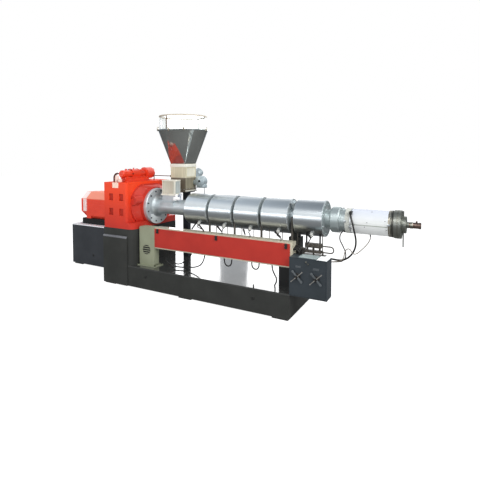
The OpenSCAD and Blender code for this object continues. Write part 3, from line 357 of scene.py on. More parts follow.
# %% Finish of every node
# the frame's materials hold some of these names already, and Blender then adds a number
FINISHES = {finish.name.split(".")[0]: finish for finish in (
    enamel("base_enamel", "#3b3c3a", "#343533", roughness=0.5, gloss=0.12),
    enamel("plate_enamel", "#3f403e", "#363736", roughness=0.16, gloss=0.4, depth_mm=0.05,
           coat=1.0),
    enamel("stand_enamel", "#404347", "#393c40", gloss=0.16),
    # painted light: the gearbox turns paler and more orange towards its top, as if lit from above
    painted_light_by_height(enamel("gearbox_enamel", "#c83426", "#bc2e21"), "#ee451f", 0.78, 1.25),
    enamel("hood_enamel", "#cd3c2e", "#be3629", gloss=0.2, coat=0.35),
    # painted highlight: a pale band high on the motor, on its top chamfer
    painted_light_by_height(enamel("motor_enamel", "#f2503a", "#e64734", gloss=0.25),
                "#ee9078", 1.014, 1.024),
    # painted shade: a darker red for the backs of the gearbox recesses
    enamel("recess_painted_shade", "#b23529", "#a52e24", gloss=0.05),
    enamel("pump_enamel", "#e8411f", "#d93819", gloss=0.4, coat=1.0),
    # pale for the fan panels, and a painted highlight for the sheets on the motor's shoulders
    enamel("pale_enamel", "#fff0ee", "#fbe2de"),
    enamel("box_enamel", "#393f44", "#33393d", gloss=0.16),
    enamel("pale_lid", "#98a4a3", "#8b9796", gloss=0.5),
    enamel("dull_plate", "#54595d", "#494e51", peel_mm=4),
    enamel("post_enamel", "#969a83", "#8c9079"),
    enamel("duct_enamel", "#c8c2ac", "#bab49f", coat=1.0),
    enamel("cover_enamel", "#b6352c", "#aa2f27", gloss=0.2),
    enamel("cream_enamel", "#e6e4d8", "#dad8cb"),
    enamel("cap_enamel", "#bdbfb9", "#b0b2ab"),
    enamel("plate_print", "#fcddcb", "#f3d0bc", peel_mm=4),
    # painted highlight: near white for the glare along the stand's top edge
    enamel("edge_painted_highlight", "#fcfdff", "#f1f4fa", roughness=0.65, gloss=0.03),
    # painted highlight: a paler grey for the light on the pedestal ledge
    enamel("ledge_painted_highlight", "#7c7d82", "#6d6e73"),
    streaked_sheet("chute_enamel", "#e9e6d8", "#dcd9cb"),
    streaked_sheet("chute_sheet", "#c9c5b3", "#b3af9f", 9),
    streaked_sheet("steel_sheet", "#c2c8c4", "#aeb4b0", 12, metallic=0.3),
    streaked_sheet("neck_sheet", "#d2cbb0", "#bfb89d"),
    streaked_sheet("trough_enamel", "#73695a", "#655b4d", 30),
    enamel("column_enamel", "#303338", "#292c30", gloss=0.2),
    # painted reflection: pale for the floor's glare on the lowest part of the flange
    enamel("floor_glare_steel", "#d3d9da", "#c6cccd"),
    enamel("bowl_enamel", "#ecd0c4", "#e0c2b5", peel_mm=5),
    enamel("lid_white", "#ffffff", "#f4f6f6", coat=0.5),
    enamel("ring_enamel", "#cfc4b2", "#c0b5a3"),
    enamel("seam_grey", "#a2a79f", "#949991"),
    # painted light: the trough and neck side panels are paler copies of their fronts' sheet
    streaked_sheet("trough_side_painted_light", "#8d8672", "#7e7865", 30),
    streaked_sheet("neck_panel_painted_light", "#e0ddca", "#d3d0bd"),
    # painted reflection: the sleeve and the clamp turn the bluish grey of the overhead sky up top
    painted_light_by_height(enamel("white_enamel", "#dcdedd", "#d3d5d4"), "#b6bbc6", 1.03, 1.14),
    enamel("black_steel", "#262727", "#202121", gloss=0.2),
    enamel("pipe_enamel", "#615c55", "#4f4b45"),
    enamel("oil_enamel", "#6b3a2c", "#4f2d24", peel_mm=4),
    brushed_sheet("brushed_stainless", "#c8ced1", "#c4cacd"),
    turned_metal("turned_steel", "#d3d8db", "#c7ccd0", shine=0.6),
    turned_metal("turned_stainless", "#c9d0d1", "#bec5c7", roughness=0.3, shine=0.6),
    plain_metal("machined_steel", "#c3cbce", "#b9c1c4", 0.5, 90, 0.01, shine=0.75),
    plain_metal("neck_steel", "#b6c0c0", "#abb5b5", 0.42, 90, 0.01, shine=0.8),
    plain_metal("bright_steel", "#dbdfe1", "#cfd3d5", 0.34, 90, 0.01),
    plain_metal("screw_steel", "#6a6d70", "#595c5f", 0.42, 12),
    plain_metal("black_oxide", "#3b3c3d", "#2e2f30", 0.42, 12),
    turned_metal("oiled_steel", "#94968f", "#888a82"),
    plain_metal("dull_steel", "#8b8a80", "#7c7b72"),
    plain_metal("clip_metal", "#b5ae9f", "#a39c8d", grain_mm=10),
    plain_metal("tinted_steel", "#85736a", "#715f57"),
    plain_metal("cast_alloy", "#bac6ca", "#a8b4b8", 0.42, shine=0.5),
    plain_metal("polished_stainless", "#b0b3af", "#a6a9a5", 0.12, 200, 0.01, shine=0.9),
    clear_acrylic(),
    moulded_plastic("black_plastic", "#232322", "#2c2c2b"),
    moulded_plastic("wire_plastic", "#827b70", "#726b61"),
    moulded_plastic("handle_grey", "#575c5f", "#4d5255"),
    moulded_plastic("handle_rod", "#85827d", "#777470"),
    moulded_plastic("cable_rubber", "#181716", "#211f1e"),
    moulded_plastic("white_ceramic", "#c6c6c1", "#b4b4ae"),
    moulded_plastic("aged_strip", "#75604e", "#65523f"),
)}

NODES = {
    "base_enamel": "levelling_pads base_frame gearbox_pedestal barrel_support",
    "plate_enamel": "base_top_plate", "stand_enamel": "motor_stand",
    "black_steel": "motor_rails duct_leg", "black_plastic": "duct_latches cable_glands",
    "motor_enamel": "motor_body motor_end_bells coupling_guard",
    "gearbox_enamel": "gearbox_housing", "hood_enamel": "bearing_housing",
    "pump_enamel": "lube_pump", "oil_enamel": "lube_pipe", "machined_steel": "barrel",
    "turned_steel": "barrel_flange", "turned_stainless": "drum_end_plates",
    "brushed_stainless": " ".join(f"heater_drum_{i}" for i in range(1, 6)),
    "white_ceramic": "heater_plugs", "pipe_enamel": "cooling_pipes water_manifold",
    "neck_steel": "discharge_neck", "white_enamel": "insulated_sleeve throat_clamp",
    "cap_enamel": "sleeve_rings", "oiled_steel": "end_flange end_disc",
    "tinted_steel": "outlet_pipe", "chute_enamel": "feed_chute",
    "column_enamel": "feeder_column", "trough_enamel": "feeder_trough",
    "cast_alloy": "feeder_motor", "neck_sheet": "hopper_neck",
    "polished_stainless": "hopper", "clear_acrylic": "sight_sleeve",
    "ring_enamel": "sight_ring", "post_enamel": "duct_post", "duct_enamel": "cable_duct",
    "cover_enamel": "duct_cover", "box_enamel": "valve_box", "dull_steel": "valve_handles",
    "wire_plastic": "signal_wire",
    "cable_rubber": "fixed_leads sleeve_cable neck_cable duct_loop_1 duct_loop_2 riser_cable "
                    "floor_cable short_cable",
}
NODE_FINISH = {name: finish for finish, names in NODES.items() for name in names.split()}


def finish_nodes():
    for name, shape in [*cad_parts.items(), *cables.items()]:
        shape.data.materials.clear()
        shape.data.materials.append(FINISHES[NODE_FINISH[name]])
    print("finished nodes", len(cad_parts), "and cables", len(cables))


finish_nodes()

# %% [markdown]
# ## Shaping tools
# Every small piece starts from a primitive and is then worked on as by hand: faces are picked
# by where they look, inset, pushed and bevelled. These helpers keep that short. A finished
# piece lies at the origin with its place in its mesh, as the model's own nodes do.

# %% Start a piece
def deselect():
    bpy.ops.object.select_all(action="DESELECT")


def added(name, edge=0):
    """name the new primitive, put its place into its mesh and soften its edges"""
    piece = bpy.context.object
    piece.name = name
    bpy.ops.object.transform_apply(location=True, rotation=True, scale=True)
    return soften(piece, edge) if edge else piece


def block(name, low, high, edge=0):
    deselect()
    middle = [(a + b) / 2 for a, b in zip(low, high)]
    size = [b - a for a, b in zip(low, high)]
    bpy.ops.mesh.primitive_cube_add(size=1, location=middle, scale=size)
    return added(name, edge)


ALONG = {"X": (0, pi / 2, 0), "Y": (pi / 2, 0, 0), "Z": (0, 0, 0)}


def round_bar(name, middle, radius, length, edge=0, axis="Z", sides=32, ends="NGON"):
    deselect()
    bpy.ops.mesh.primitive_cylinder_add(
        vertices=sides, radius=radius, depth=length, location=middle, rotation=ALONG[axis],
        end_fill_type=ends)
    return added(name, edge)


# %% Pick and push faces
def pick_faces(piece, wanted):
    bpy.context.view_layer.objects.active = piece
    bpy.ops.object.mode_set(mode="EDIT")
    bpy.ops.mesh.select_mode(type="FACE")
    bpy.ops.mesh.select_all(action="DESELECT")
    bpy.ops.object.mode_set(mode="OBJECT")
    for face in piece.data.polygons:
        face.select = wanted(face)
    bpy.ops.object.mode_set(mode="EDIT")


def looks(x=0, y=0, z=0):
    way = Vector((x, y, z))
    return lambda face: face.normal.dot(way) > 0.9


def edit_faces(piece, wanted, work, **settings):
    """one edit-mode operator on the wanted faces"""
    pick_faces(piece, wanted)
    work(**settings)
    bpy.ops.object.mode_set(mode="OBJECT")
    return piece


def inset_push(piece, wanted, edge, push):
    pick_faces(piece, wanted)
    bpy.ops.mesh.inset(thickness=edge)
    bpy.ops.mesh.extrude_region_move(TRANSFORM_OT_translate={"value": push})
    bpy.ops.object.mode_set(mode="OBJECT")
    return piece


# %% Finish a piece
def apply_modifier(piece, kind, **settings):
    bpy.context.view_layer.objects.active = piece
    modifier = piece.modifiers.new(kind.lower(), kind)
    for name, value in settings.items():
        setattr(modifier, name, value)
    bpy.ops.object.modifier_apply(modifier=modifier.name)
    return piece


SHARP = radians(35)


def soften(piece, width):
    return apply_modifier(piece, "BEVEL", width=width, segments=2, limit_method="ANGLE",
                          angle_limit=SHARP)


def keep_inside(piece, low, high):
    cutter = block("cutter", low, high)
    apply_modifier(piece, "BOOLEAN", operation="INTERSECT", object=cutter, solver="EXACT")
    bpy.data.objects.remove(cutter)
    return piece


def join(name, parts):
    deselect()
    for part in parts:
        part.select_set(True)
    bpy.context.view_layer.objects.active = parts[0]
    bpy.ops.object.join()
    parts[0].name = name
    deselect()
    return parts[0]


# %% Place and dress a piece
FACING = {"+X": (pi / 2, "Y"), "-X": (-pi / 2, "Y"), "-Y": (pi / 2, "X"), "+Y": (-pi / 2, "X"),
          "+Z": (0, "Z")}


def turned(point, angle, axis):
    return Matrix.Translation(point) @ Matrix.Rotation(angle, 4, axis)


def spot(point, facing="+Z"):
    return turned(point, *FACING[facing])


def copies(name, model, places):
    """copy a model made at the origin to each place, a matrix"""
    parts = []
    for place in places:
        part = model.copy()
        part.data = model.data.copy()
        part.data.transform(place)
        scene.collection.objects.link(part)
        parts.append(part)
    bpy.data.objects.remove(model)
    return join(name, parts)


def dress(piece, finish, replaced=None):
    """give a piece its finish, smooth shading and its place under the root, and hide the node that
    it replaces
    """
    piece.data.materials.clear()
    piece.data.materials.append(FINISHES[finish])
    deselect()
    piece.select_set(True)
    bpy.context.view_layer.objects.active = piece
    bpy.ops.object.shade_smooth_by_angle(angle=SHARP)
    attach(piece, "root")
    if replaced:
        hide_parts(replaced)
    deselect()
    print(piece.name, "faces", len(piece.data.polygons))


# %% [markdown]
# ## Screws
# Cap screws hold the barrel flange, hexagon screws hold plates and bands. One of each is
# modelled at the origin and copied: a short bar whose top face is inset and pushed down for
# the key, with a small bevel that catches the light.

# %% Screw models
def cap_screw(radius, height):
    screw = round_bar("cap_screw", (0, 0, height / 2), radius, height, sides=24)
    inset_push(screw, looks(z=1), radius * 0.42, (0, 0, -height * 0.6))
    return soften(screw, radius * 0.1)


def hex_screw(radius, height):
    washer = round_bar("washer", (0, 0, height * 0.12), radius * 1.35, height * 0.24, sides=24)
    head = round_bar("hex_head", (0, 0, height * 0.6), radius, height * 0.8, sides=6)
    inset_push(head, looks(z=1), radius * 0.16, (0, 0, height * 0.08))
    return soften(join("hex_screw", [washer, head]), radius * 0.07)


def on_circle(x, radius, count):
    turns = [pi / count + i * 2 * pi / count for i in range(count)]
    return [spot((x, radius * cos(a), AXIS_Z + radius * sin(a)), "+X") for a in turns]


def dark_screws(name, model, places):
    dress(copies(name, model, places), "black_oxide")


# %% [markdown]
# ## Barrel flange and bearing housing screws
# Twelve dark cap screws stand on the flange face. Their heads read as dots round the bright
# ring. Smaller hexagon screws follow the arched edge of the bearing housing. A pale plate on the
# lowest part of the flange, a disc cut down to its lower segment, is a painted reflection: the
# glare of the bright floor on the lower face.

# %% Flange screws
HOOD_X = -0.088
HOOD_CORNER = (0.130, 1.075)
HOOD_ARC = 0.232
HOOD_TURNS = (12, 36, 60, 84)

dress(copies("flange_screws", cap_screw(0.0105, 0.010), on_circle(0.042, 0.206, 12)),
      "screw_steel")
# painted reflection: a pale plate for the floor's glare on the lowest part of the flange
disc = round_bar("flange_floor_glare", (0.0436, 0, AXIS_Z), 0.2405, 0.003, axis="X", sides=96)
glare_plate = keep_inside(disc, (0.04, -0.150, 0.770), (0.05, 0.170, 0.915))
dress(soften(glare_plate, 0.0008), "floor_glare_steel")
hood_spots = [
    spot((HOOD_X, side * (HOOD_CORNER[0] + HOOD_ARC * cos(a)), HOOD_CORNER[1] + HOOD_ARC * sin(a)),
         "+X") for side in (-1, 1) for a in map(radians, HOOD_TURNS)]
dress(copies("boss_screws", hex_screw(0.0055, 0.008), hood_spots),
      "gearbox_enamel")
dress(copies("ring_screws", cap_screw(0.008, 0.008), on_circle(2.385, 0.160, 8)),
      "bright_steel")
neck_spots = [spot((2.562, 0, AXIS_Z + 0.116)), spot((2.606, -0.131, AXIS_Z + 0.010), "-Y")]
dress(copies("neck_nipples", hex_screw(0.010, 0.016), neck_spots), "bright_steel")

# %% [markdown]
# ## Plates on the gearbox and the motor
# The gearbox carries a bare cream plate at its top edge. Each recess gets a darker red back,
# painted shade for the dark inside of the pocket. The fan end of the motor has a pale louvred
# panel. A louvre is one slat, tilted and copied.

# %% Plates and grilles
RIVET_IN = 0.006


def bare_plate(name, low, high, rivet=0.003):
    plate = block(name, low, high, 0.0006)
    inset_push(plate, looks(y=-1), 0.004, (0, 0.0004, 0))
    head = round_bar("rivet", (0, 0, 0.0006), rivet, 0.0012, 0.0005, sides=16)
    spots = [spot((x, low[1], z), "-Y") for x in (low[0] + RIVET_IN, high[0] - RIVET_IN)
             for z in (low[2] + RIVET_IN, high[2] - RIVET_IN)]
    return join(name, [plate, copies("rivets", head, spots)])


GEARBOX_HALF = 0.424
RECESS_X = (-0.420, -0.240)
RECESS_Z = (0.917, 1.109)


def recess_back(side, x, z):
    y = side * GEARBOX_HALF
    back = block(
        "recess_back", (x + 0.001, y - 0.0012, z + 0.001), (x + 0.070, y + 0.0012, z + 0.091))
    return soften(inset_push(back, looks(y=side), 0.006, (0, side * 0.002, 0)), 0.0005)


dress(bare_plate("name_plate", (-0.357, -0.4386, 1.276), (-0.250, -0.437, 1.3485)),
      "plate_print")
# painted shade: darker backs in the recesses
backs = [recess_back(side, x, z) for side in (-1, 1) for x in RECESS_X for z in RECESS_Z]
dress(join("recess_backs", backs), "recess_painted_shade")

# %% Motor fan panel
MOTOR_Y = 0.300
MOTOR_Z = 0.920
PANEL_X = (-1.582, -1.478)
PANEL_Z = (0.822, 1.014)
SLATS = 11
SLAT = 0.009


def slat_panel(name, low, high, tilt):
    """tilted slats between two corners, one above the other"""
    x, y = [(a + b) / 2 for a, b in zip(low[:2], high[:2])]
    step = (high[2] - low[2]) / SLATS
    half = (high[0] - low[0]) / 2
    model = block("slat", (-half, -SLAT / 2, -SLAT / 2), (half, SLAT / 2, SLAT / 2), SLAT * 0.2)
    rows = [low[2] + (i + 0.5) * step for i in range(SLATS)]
    return copies(name, model, [turned((x, y, z), tilt, "X") for z in rows])


def fan_panel(side):
    """a pale sheet with a shallow field, and slats in it"""
    y = MOTOR_Y + side * 0.198
    inner, outer = sorted((y, y + side * 0.002))
    sheet = block(
        "fan_panel", (PANEL_X[0], inner, PANEL_Z[0]), (PANEL_X[1], outer, PANEL_Z[1]), 0.0008)
    inset_push(sheet, looks(y=side), 0.006, (0, -side * 0.001, 0))
    slats = slat_panel(
        "fan_slats", (PANEL_X[0] + 0.008, y + side * 0.001, PANEL_Z[0] + 0.008),
        (PANEL_X[1] - 0.008, y + side * 0.006, PANEL_Z[1] - 0.008), 0.25 * side)
    return [sheet, slats]


dress(join("fan_panels", fan_panel(-1) + fan_panel(1)), "pale_enamel")

# %% [markdown]
# ## Pale edges, painted highlights
# The stand's top sheet is folded over its front edge. It is painted near white against the dark
# sides: a painted highlight for the glare along the glossy edge. A narrow ledge runs along the
# cover of the pedestal, painted a paler grey than the base: a painted highlight for the light on
# its sloped top. Both are thin folded sheets, one long block each with a bevelled edge.

# %% Stand edge and pedestal ledge
# painted highlight: a near-white strip for the glare along the stand's top edge
stand_edge = block("stand_edge", (-1.706, -0.0085, 0.616), (-0.525, 0.092, 0.6285))
edit_faces(stand_edge, looks(y=-1), bpy.ops.mesh.extrude_region_move,
           TRANSFORM_OT_translate={"value": (0, -0.002, 0)})
stand_end = block("stand_end", (-1.706, 0.092, 0.6275), (-1.640, 0.604, 0.6285))
dress(join("stand_edge", [soften(stand_edge, 0.002), stand_end]), "edge_painted_highlight")
# painted highlight: the ledge is painted paler grey for the light on its sloped top
ledge = block("pedestal_ledge", (-0.518, -0.4555, 0.634), (-0.104, -0.4365, 0.6555))
edit_faces(ledge, looks(y=-1), bpy.ops.transform.translate, value=(0, 0, -0.006))
dress(soften(ledge, 0.002), "ledge_painted_highlight")

# %% [markdown]
# ## Motor frame
# The frame of the motor is a stack of laminations between two cast ends. Ribs along it and screws
# through the ends tell the eye what it is. A pale sheet on each sloping shoulder of the fan end is
# a painted highlight: the glare on the chamfer.

# %% Motor details
BELL_CORNERS = [(0.198, 0.085), (0.085, 0.182), (-0.085, 0.182), (-0.198, 0.085),
                (-0.198, -0.085), (-0.085, -0.182), (0.085, -0.182), (0.198, -0.085)]
INWARD = 0.88
RIB_OUT = 0.205
RIB_Z = (0.83, 0.88, 0.93, 0.98)

bell_spots = [
    spot((-1.623, MOTOR_Y + y * INWARD, MOTOR_Z + z * INWARD), "-X") for y, z in BELL_CORNERS]
dark_screws("bell_screws", hex_screw(0.011, 0.011), bell_spots)
# painted highlight: a pale sheet on each upper chamfer of the fan end
glint_sheet = block("bell_glint", (-0.058, -0.067, 0), (0.058, 0.067, 0.003))
soften(inset_push(glint_sheet, looks(z=1), 0.008, (0, 0, -0.001)), 0.0006)
glint_spots = [turned((-1.563, MOTOR_Y + side * 0.148, MOTOR_Z + 0.148), -side * pi / 4, "X")
             for side in (-1, 1)]
dress(copies("bell_glints", glint_sheet, glint_spots), "pale_enamel")
rib_lines = [(MOTOR_Y + side * RIB_OUT, z) for side in (-1, 1) for z in RIB_Z]
ribs = [block("rib", (-1.500, y - 0.003, z), (-0.826, y + 0.003, z + 0.006), 0.002)
        for y, z in rib_lines]
dress(join("motor_ribs", ribs), "motor_enamel")

# %% [markdown]
# ## Pump details
# The pump set on the gearbox has a finned motor and flange screws. The fins are one thin block,
# copied round the motor. Two pale bowls and a thick rubber sheath dress the oil line: the
# sheath's bend is a quarter of a torus.

# %% Pump
PUMP_X = -0.273
PUMP_Z = 1.455
FINS = 24
BED_TOP = 1.362


def cheek(side):
    x = PUMP_X + side * 0.040
    plate = block("cheek", (x - 0.004, -0.325, BED_TOP), (x + 0.004, 0.120, 1.412))
    return inset_push(plate, looks(x=side), 0.012, (-side * 0.002, 0, 0))


fin = block("fin", (0.041, -0.060, -0.0016), (0.053, 0.058, 0.0016), 0.0008)
fin_spots = [turned((PUMP_X, 0, PUMP_Z), i * 2 * pi / FINS, "Y") for i in range(FINS)]
dress(copies("pump_fins", fin, fin_spots), "pump_enamel")
bed = block("pump_bed", (PUMP_X - 0.062, -0.335, 1.3495), (PUMP_X + 0.062, 0.130, BED_TOP))
dress(join("pump_bed", [soften(part, 0.002) for part in (bed, cheek(-1), cheek(1))]),
      "pump_enamel")
pump_turns = [i * 2 * pi / 6 for i in range(6)]
pump_spots = [
    spot((PUMP_X + 0.059 * cos(a), -0.205, PUMP_Z + 0.059 * sin(a)), "-Y") for a in pump_turns]
dark_screws("pump_screws", hex_screw(0.006, 0.006), pump_spots)

# %% Oil line
SHEATH_R = 0.013
BOWLS = ((-0.313, 0.024, 0.086), (-0.257, 0.026, 0.044))

deselect()
bpy.ops.mesh.primitive_torus_add(
    major_radius=0.060, minor_radius=SHEATH_R, major_segments=48, minor_segments=16,
    location=(-0.367, -0.336, 1.399), rotation=(pi / 2, 0, 0))
bend = keep_inside(added("sheath_bend"), (-0.445, -0.360, 1.399), (-0.367, -0.310, 1.475))
foot = round_bar("sheath_foot", (-0.427, -0.336, 1.3745), SHEATH_R, 0.051, 0.002)
dress(join("oil_hose_sheath", [bend, foot]), "oil_enamel")
bowls = [round_bar("bowl", (x, -0.400, 1.350 + tall / 2), radius, tall, 0.006, sides=40)
         for x, radius, tall in BOWLS]
dress(join("bowl_shells", bowls), "bowl_enamel")

# %% [markdown]
# ## Hopper fittings
# The clear sleeve stands in the hopper's rim. Toggle clips hold it, and a brown strip covers
# each of its two seams.

# %% Hopper
HOPPER = (0.267, 0.270)
RIM_Z = 2.052
CLIP_TURNS = (-128, -86, -52, 8, 68, 128, 180)
SEAM_TURNS = (-96, 84)


def rim_spot(degrees, radius, z):
    turn = radians(degrees)
    return turned((HOPPER[0] + radius * cos(turn), HOPPER[1] + radius * sin(turn), z), turn, "Z")


def toggle_clip():
    body = block("clip_body", (-0.006, -0.012, -0.030), (0.003, 0.012, 0.006), 0.002)
    lever = block("clip_lever", (0.003, -0.008, -0.026), (0.009, 0.008, 0.026), 0.002)
    hook = block("clip_hook", (-0.018, -0.009, 0.018), (0.006, 0.009, 0.026), 0.002)
    return join("toggle_clip", [body, lever, hook])


dress(copies("rim_clips", toggle_clip(), [rim_spot(a, 0.353, RIM_Z + 0.006) for a in CLIP_TURNS]),
      "clip_metal")
strip = block("strip", (-0.004, -0.011, 0.0), (0.004, 0.011, 0.172), 0.001)
dress(copies("sleeve_seams", strip, [rim_spot(a, 0.320, RIM_Z) for a in SEAM_TURNS]),
      "aged_strip")

# %% [markdown]
# ## Chute, neck and trough trims
# Folded sheet shows as thin bright lines: a lip round the top of the chute, a band where the
# neck meets the hopper, thin panels on the sides, and rows of small screws. The side panels of
# the neck and the trough are painted paler than their fronts: painted light on the sides that
# the light falls on.

# %% Sheet trims
SHEET = 0.003


def sheet_frame(name, low, high, z0, z1):
    """a band of sheet round a rectangle"""
    hoop = block(name, (low[0] - SHEET, low[1] - SHEET, z0), (high[0] + SHEET, high[1] + SHEET, z1))
    edit_faces(hoop, lambda face: abs(face.normal.z) > 0.9, bpy.ops.mesh.delete, type="FACE")
    apply_modifier(hoop, "SOLIDIFY", thickness=SHEET, offset=-1)
    return soften(hoop, SHEET * 0.3)


def side_sheet(name, low, high, face, edge):
    """a thin panel whose field is sunk a little"""
    sunk = [-0.0008 * way for way in face]
    return soften(inset_push(block(name, low, high), looks(*face), edge, sunk), 0.0005)


# the neck and trough side panels carry painted light: paler than the fronts
for name, low, high, face, edge, finish, slot in (
    ("chute_panel", (0.171, -0.0575, 1.196), (0.347, -0.0552, 1.360), (0, -1, 0), 0.003,
     "chute_sheet", "chute_paint"),
    ("chute_side", (0.3752, -0.046, 1.198), (0.3775, 0.046, 1.358), (1, 0, 0), 0.003,
     "steel_sheet", "chute_paint"),
    ("neck_panel_painted_light", (0.3902, 0.182, 1.414), (0.3925, 0.366, 1.526), (1, 0, 0), 0.004,
     "neck_panel_painted_light", "neck_paint"),
    ("trough_side_painted_light", (0.3902, 0.150, 1.226), (0.3925, 0.390, 1.392), (1, 0, 0), 0.004,
     "trough_side_painted_light", "trough_paint")):
    dress(side_sheet(name, low, high, face, edge), finish)
dress(sheet_frame("chute_lip", (0.159, -0.055), (0.375, 0.055), 1.363, 1.376),
      "chute_enamel")
dress(sheet_frame("neck_band", (0.141, 0.144), (0.393, 0.396), 1.5415, 1.5845),
      "cream_enamel")
dress(block("trough_lip", (0.3895, 0.146, 1.203), (0.398, 0.396, 1.224), 0.002),
      "cream_enamel")

# %% Screws of the chute and the trough
dress(copies("pipe_fitting", hex_screw(0.012, 0.022), [spot((0.122, 0.170, 1.416), "+X")]),
      "oil_enamel")
trough_spots = [spot((HOPPER[0] + x, 0.137, 1.237)) for x in (-0.11, -0.055, 0, 0.055, 0.11)]
trough_spots += [spot((0.3975, HOPPER[1] + y, 1.245)) for y in (-0.10, -0.04, 0.04, 0.10)]
dress(copies("trough_screws", hex_screw(0.005, 0.005), trough_spots), "bright_steel")
chute_spots = [spot((HOPPER[0] + x, y, 1.188)) for x in (-0.112, 0, 0.112)
               for y in (-0.062, 0.062)]
dress(copies("chute_screws", hex_screw(0.005, 0.006), chute_spots), "bright_steel")

# %% [markdown]
# ## Gear head, grip and lead sleeves
# A small worm gear head turns the feeder's screw: short bars and a foot with soft edges. A
# white grip closes the clamp of the feed throat. Black tapered sleeves guard the heater leads
# where they drop behind the duct: a bar with its far end drawn in.

# %% Feeder gear head
gear_parts = [
    round_bar("gear_neck", (0.420, 0.360, 1.325), 0.034, 0.064, 0.003, axis="X", sides=40),
    round_bar("gear_case", (0.496, 0.370, 1.342), 0.076, 0.110, 0.016, axis="Y", sides=48),
    block("gear_foot", (0.440, 0.330, 1.252), (0.572, 0.410, 1.296), 0.006),
    round_bar("gear_cap", (0.496, 0.308, 1.345), 0.050, 0.018, 0.004, axis="Y", sides=40)]
dress(join("feeder_gear_head", gear_parts), "cast_alloy")
dress(round_bar("gear_plug", (0.514, 0.296, 1.348), 0.016, 0.012, 0.002, axis="Y"),
      "black_plastic")
dress(round_bar("gear_rod", (0.556, 0.360, 1.225), 0.005, 0.150, 0.001, sides=24),
      "bright_steel")

# %% Throat clamp grip
grip = [block("grip_jaw", (0.372, -0.100, 1.112), (0.424, -0.064, 1.158), 0.008),
        round_bar("grip_knob", (0.440, -0.085, 1.140), 0.022, 0.050, 0.006, axis="X"),
        round_bar("grip_post", (0.416, -0.082, 1.172), 0.016, 0.040, 0.004)]
dress(join("throat_grip", grip), "lid_white")

# %% Lead sleeves under the heaters
LEADS = [((0.763, -0.120, 0.866), (0.746, -0.205, 0.790)),
         ((0.767, -0.120, 0.864), (0.945, -0.233, 0.789)),
         ((1.08, -0.14, 0.841), (1.195, -0.235, 0.807)),
         ((1.437, -0.14, 0.836), (1.507, -0.235, 0.802)),
         ((1.835, -0.14, 0.845), (1.941, -0.235, 0.817)),
         ((2.213, -0.14, 0.853), (2.283, -0.235, 0.84))]
SLEEVE_BAR = 0.011


def taper(name, radius, length, sides, drawn, edge):
    """an upright bar whose top end is drawn in"""
    bar = round_bar(name, (0, 0, length / 2), radius, length, sides=sides)
    edit_faces(bar, looks(z=1), bpy.ops.transform.resize, value=(drawn, drawn, 1))
    return soften(bar, edge)


def lead_sleeve(start, end):
    way = Vector(end) - Vector(start)
    sleeve = taper("lead_sleeve", SLEEVE_BAR, way.length, 20, 0.7, SLEEVE_BAR * 0.2)
    lean = way.to_track_quat("Z", "Y").to_matrix().to_4x4()
    return copies("lead_sleeve", sleeve, [Matrix.Translation(start) @ lean])


dress(join("lead_sleeves", [lead_sleeve(*ends) for ends in LEADS]), "cable_rubber")

# %% [markdown]
# ## Vent of the duct post
# A fan blows through a round guard in the post: dark mesh behind, pale bars across it.

# %% Vent guard
VENT_X, VENT_Y, VENT_Z = 0.133, -0.340, 0.493
BAR_HALVES = (0.040, 0.056, 0.056, 0.040)
BAR_STEP = 0.028


def vent_bar(place, half):
    z = VENT_Z + place * BAR_STEP
    return block("bar", (VENT_X - half, VENT_Y - 0.006, z - 0.0045),
                 (VENT_X + half, VENT_Y - 0.0025, z + 0.0045), 0.001)


mesh = round_bar("vent_mesh", (VENT_X, VENT_Y - 0.001, VENT_Z), 0.060, 0.003, axis="Y", sides=48)
dress(inset_push(mesh, looks(y=-1), 0.004, (0, 0.001, 0)), "black_plastic")
bars = [vent_bar(i - 1.5, half) for i, half in enumerate(BAR_HALVES)]
dress(join("vent_bars", bars), "post_enamel")

# %% [markdown]
# ## Valve box
# Two bare plates, a small latch and two lids, one pale and one white, dress the box. Its
# handles are a bright thin lever crossed by a wide grey one with round ends.

# %% Box plates and lids
BOX_Y = -0.441
PLATE_Y = BOX_Y - 0.0012

box_plates = [
    bare_plate("plate", (2.190, PLATE_Y, 0.572), (2.246, BOX_Y, 0.592), 0.0015),
    bare_plate("plate", (2.372, PLATE_Y, 0.566), (2.432, BOX_Y, 0.588), 0.0015)]
dress(join("box_plates", box_plates), "dull_plate")
latch = round_bar("latch", (2.302, BOX_Y - 0.004, 0.637), 0.010, 0.008, 0.002, axis="Y")
inset_push(latch, looks(y=-1), 0.004, (0, 0.003, 0))
tab = block("latch_tab", (2.320, BOX_Y - 0.011, 0.612), (2.330, BOX_Y - 0.001, 0.628), 0.002)
dress(join("box_latch", [latch, tab]), "dull_steel")
lid = block("box_lid", (2.212, -0.420, 0.670), (2.398, -0.290, 0.676), 0.002)
dress(inset_push(lid, looks(z=1), 0.008, (0, 0, -0.0015)), "pale_lid")
end_lid = block("box_end_lid", (2.404, -0.434, 0.6700), (2.509, -0.278, 0.6735), 0.001)
dress(inset_push(end_lid, looks(z=1), 0.004, (0, 0, -0.0008)), "lid_white")

# %% Handles
HANDLE_X = (2.211, 2.408)
HANDLE_Z = 0.483


def lever(name, reach, width, thick, y, lobe):
    arm = block(name, (-reach, y - thick, -width / 2), (reach, y, width / 2), thick * 0.3)
    ends = [round_bar("lobe", (s * reach, y - thick / 2, 0), lobe, thick * 1.3, thick * 0.3,
                      axis="Y") for s in (-1, 1)]
    return join(name, [arm] + ends)


def handle_places(degrees):
    return [turned((x, BOX_Y, HANDLE_Z), radians(degrees), "Y") for x in HANDLE_X]


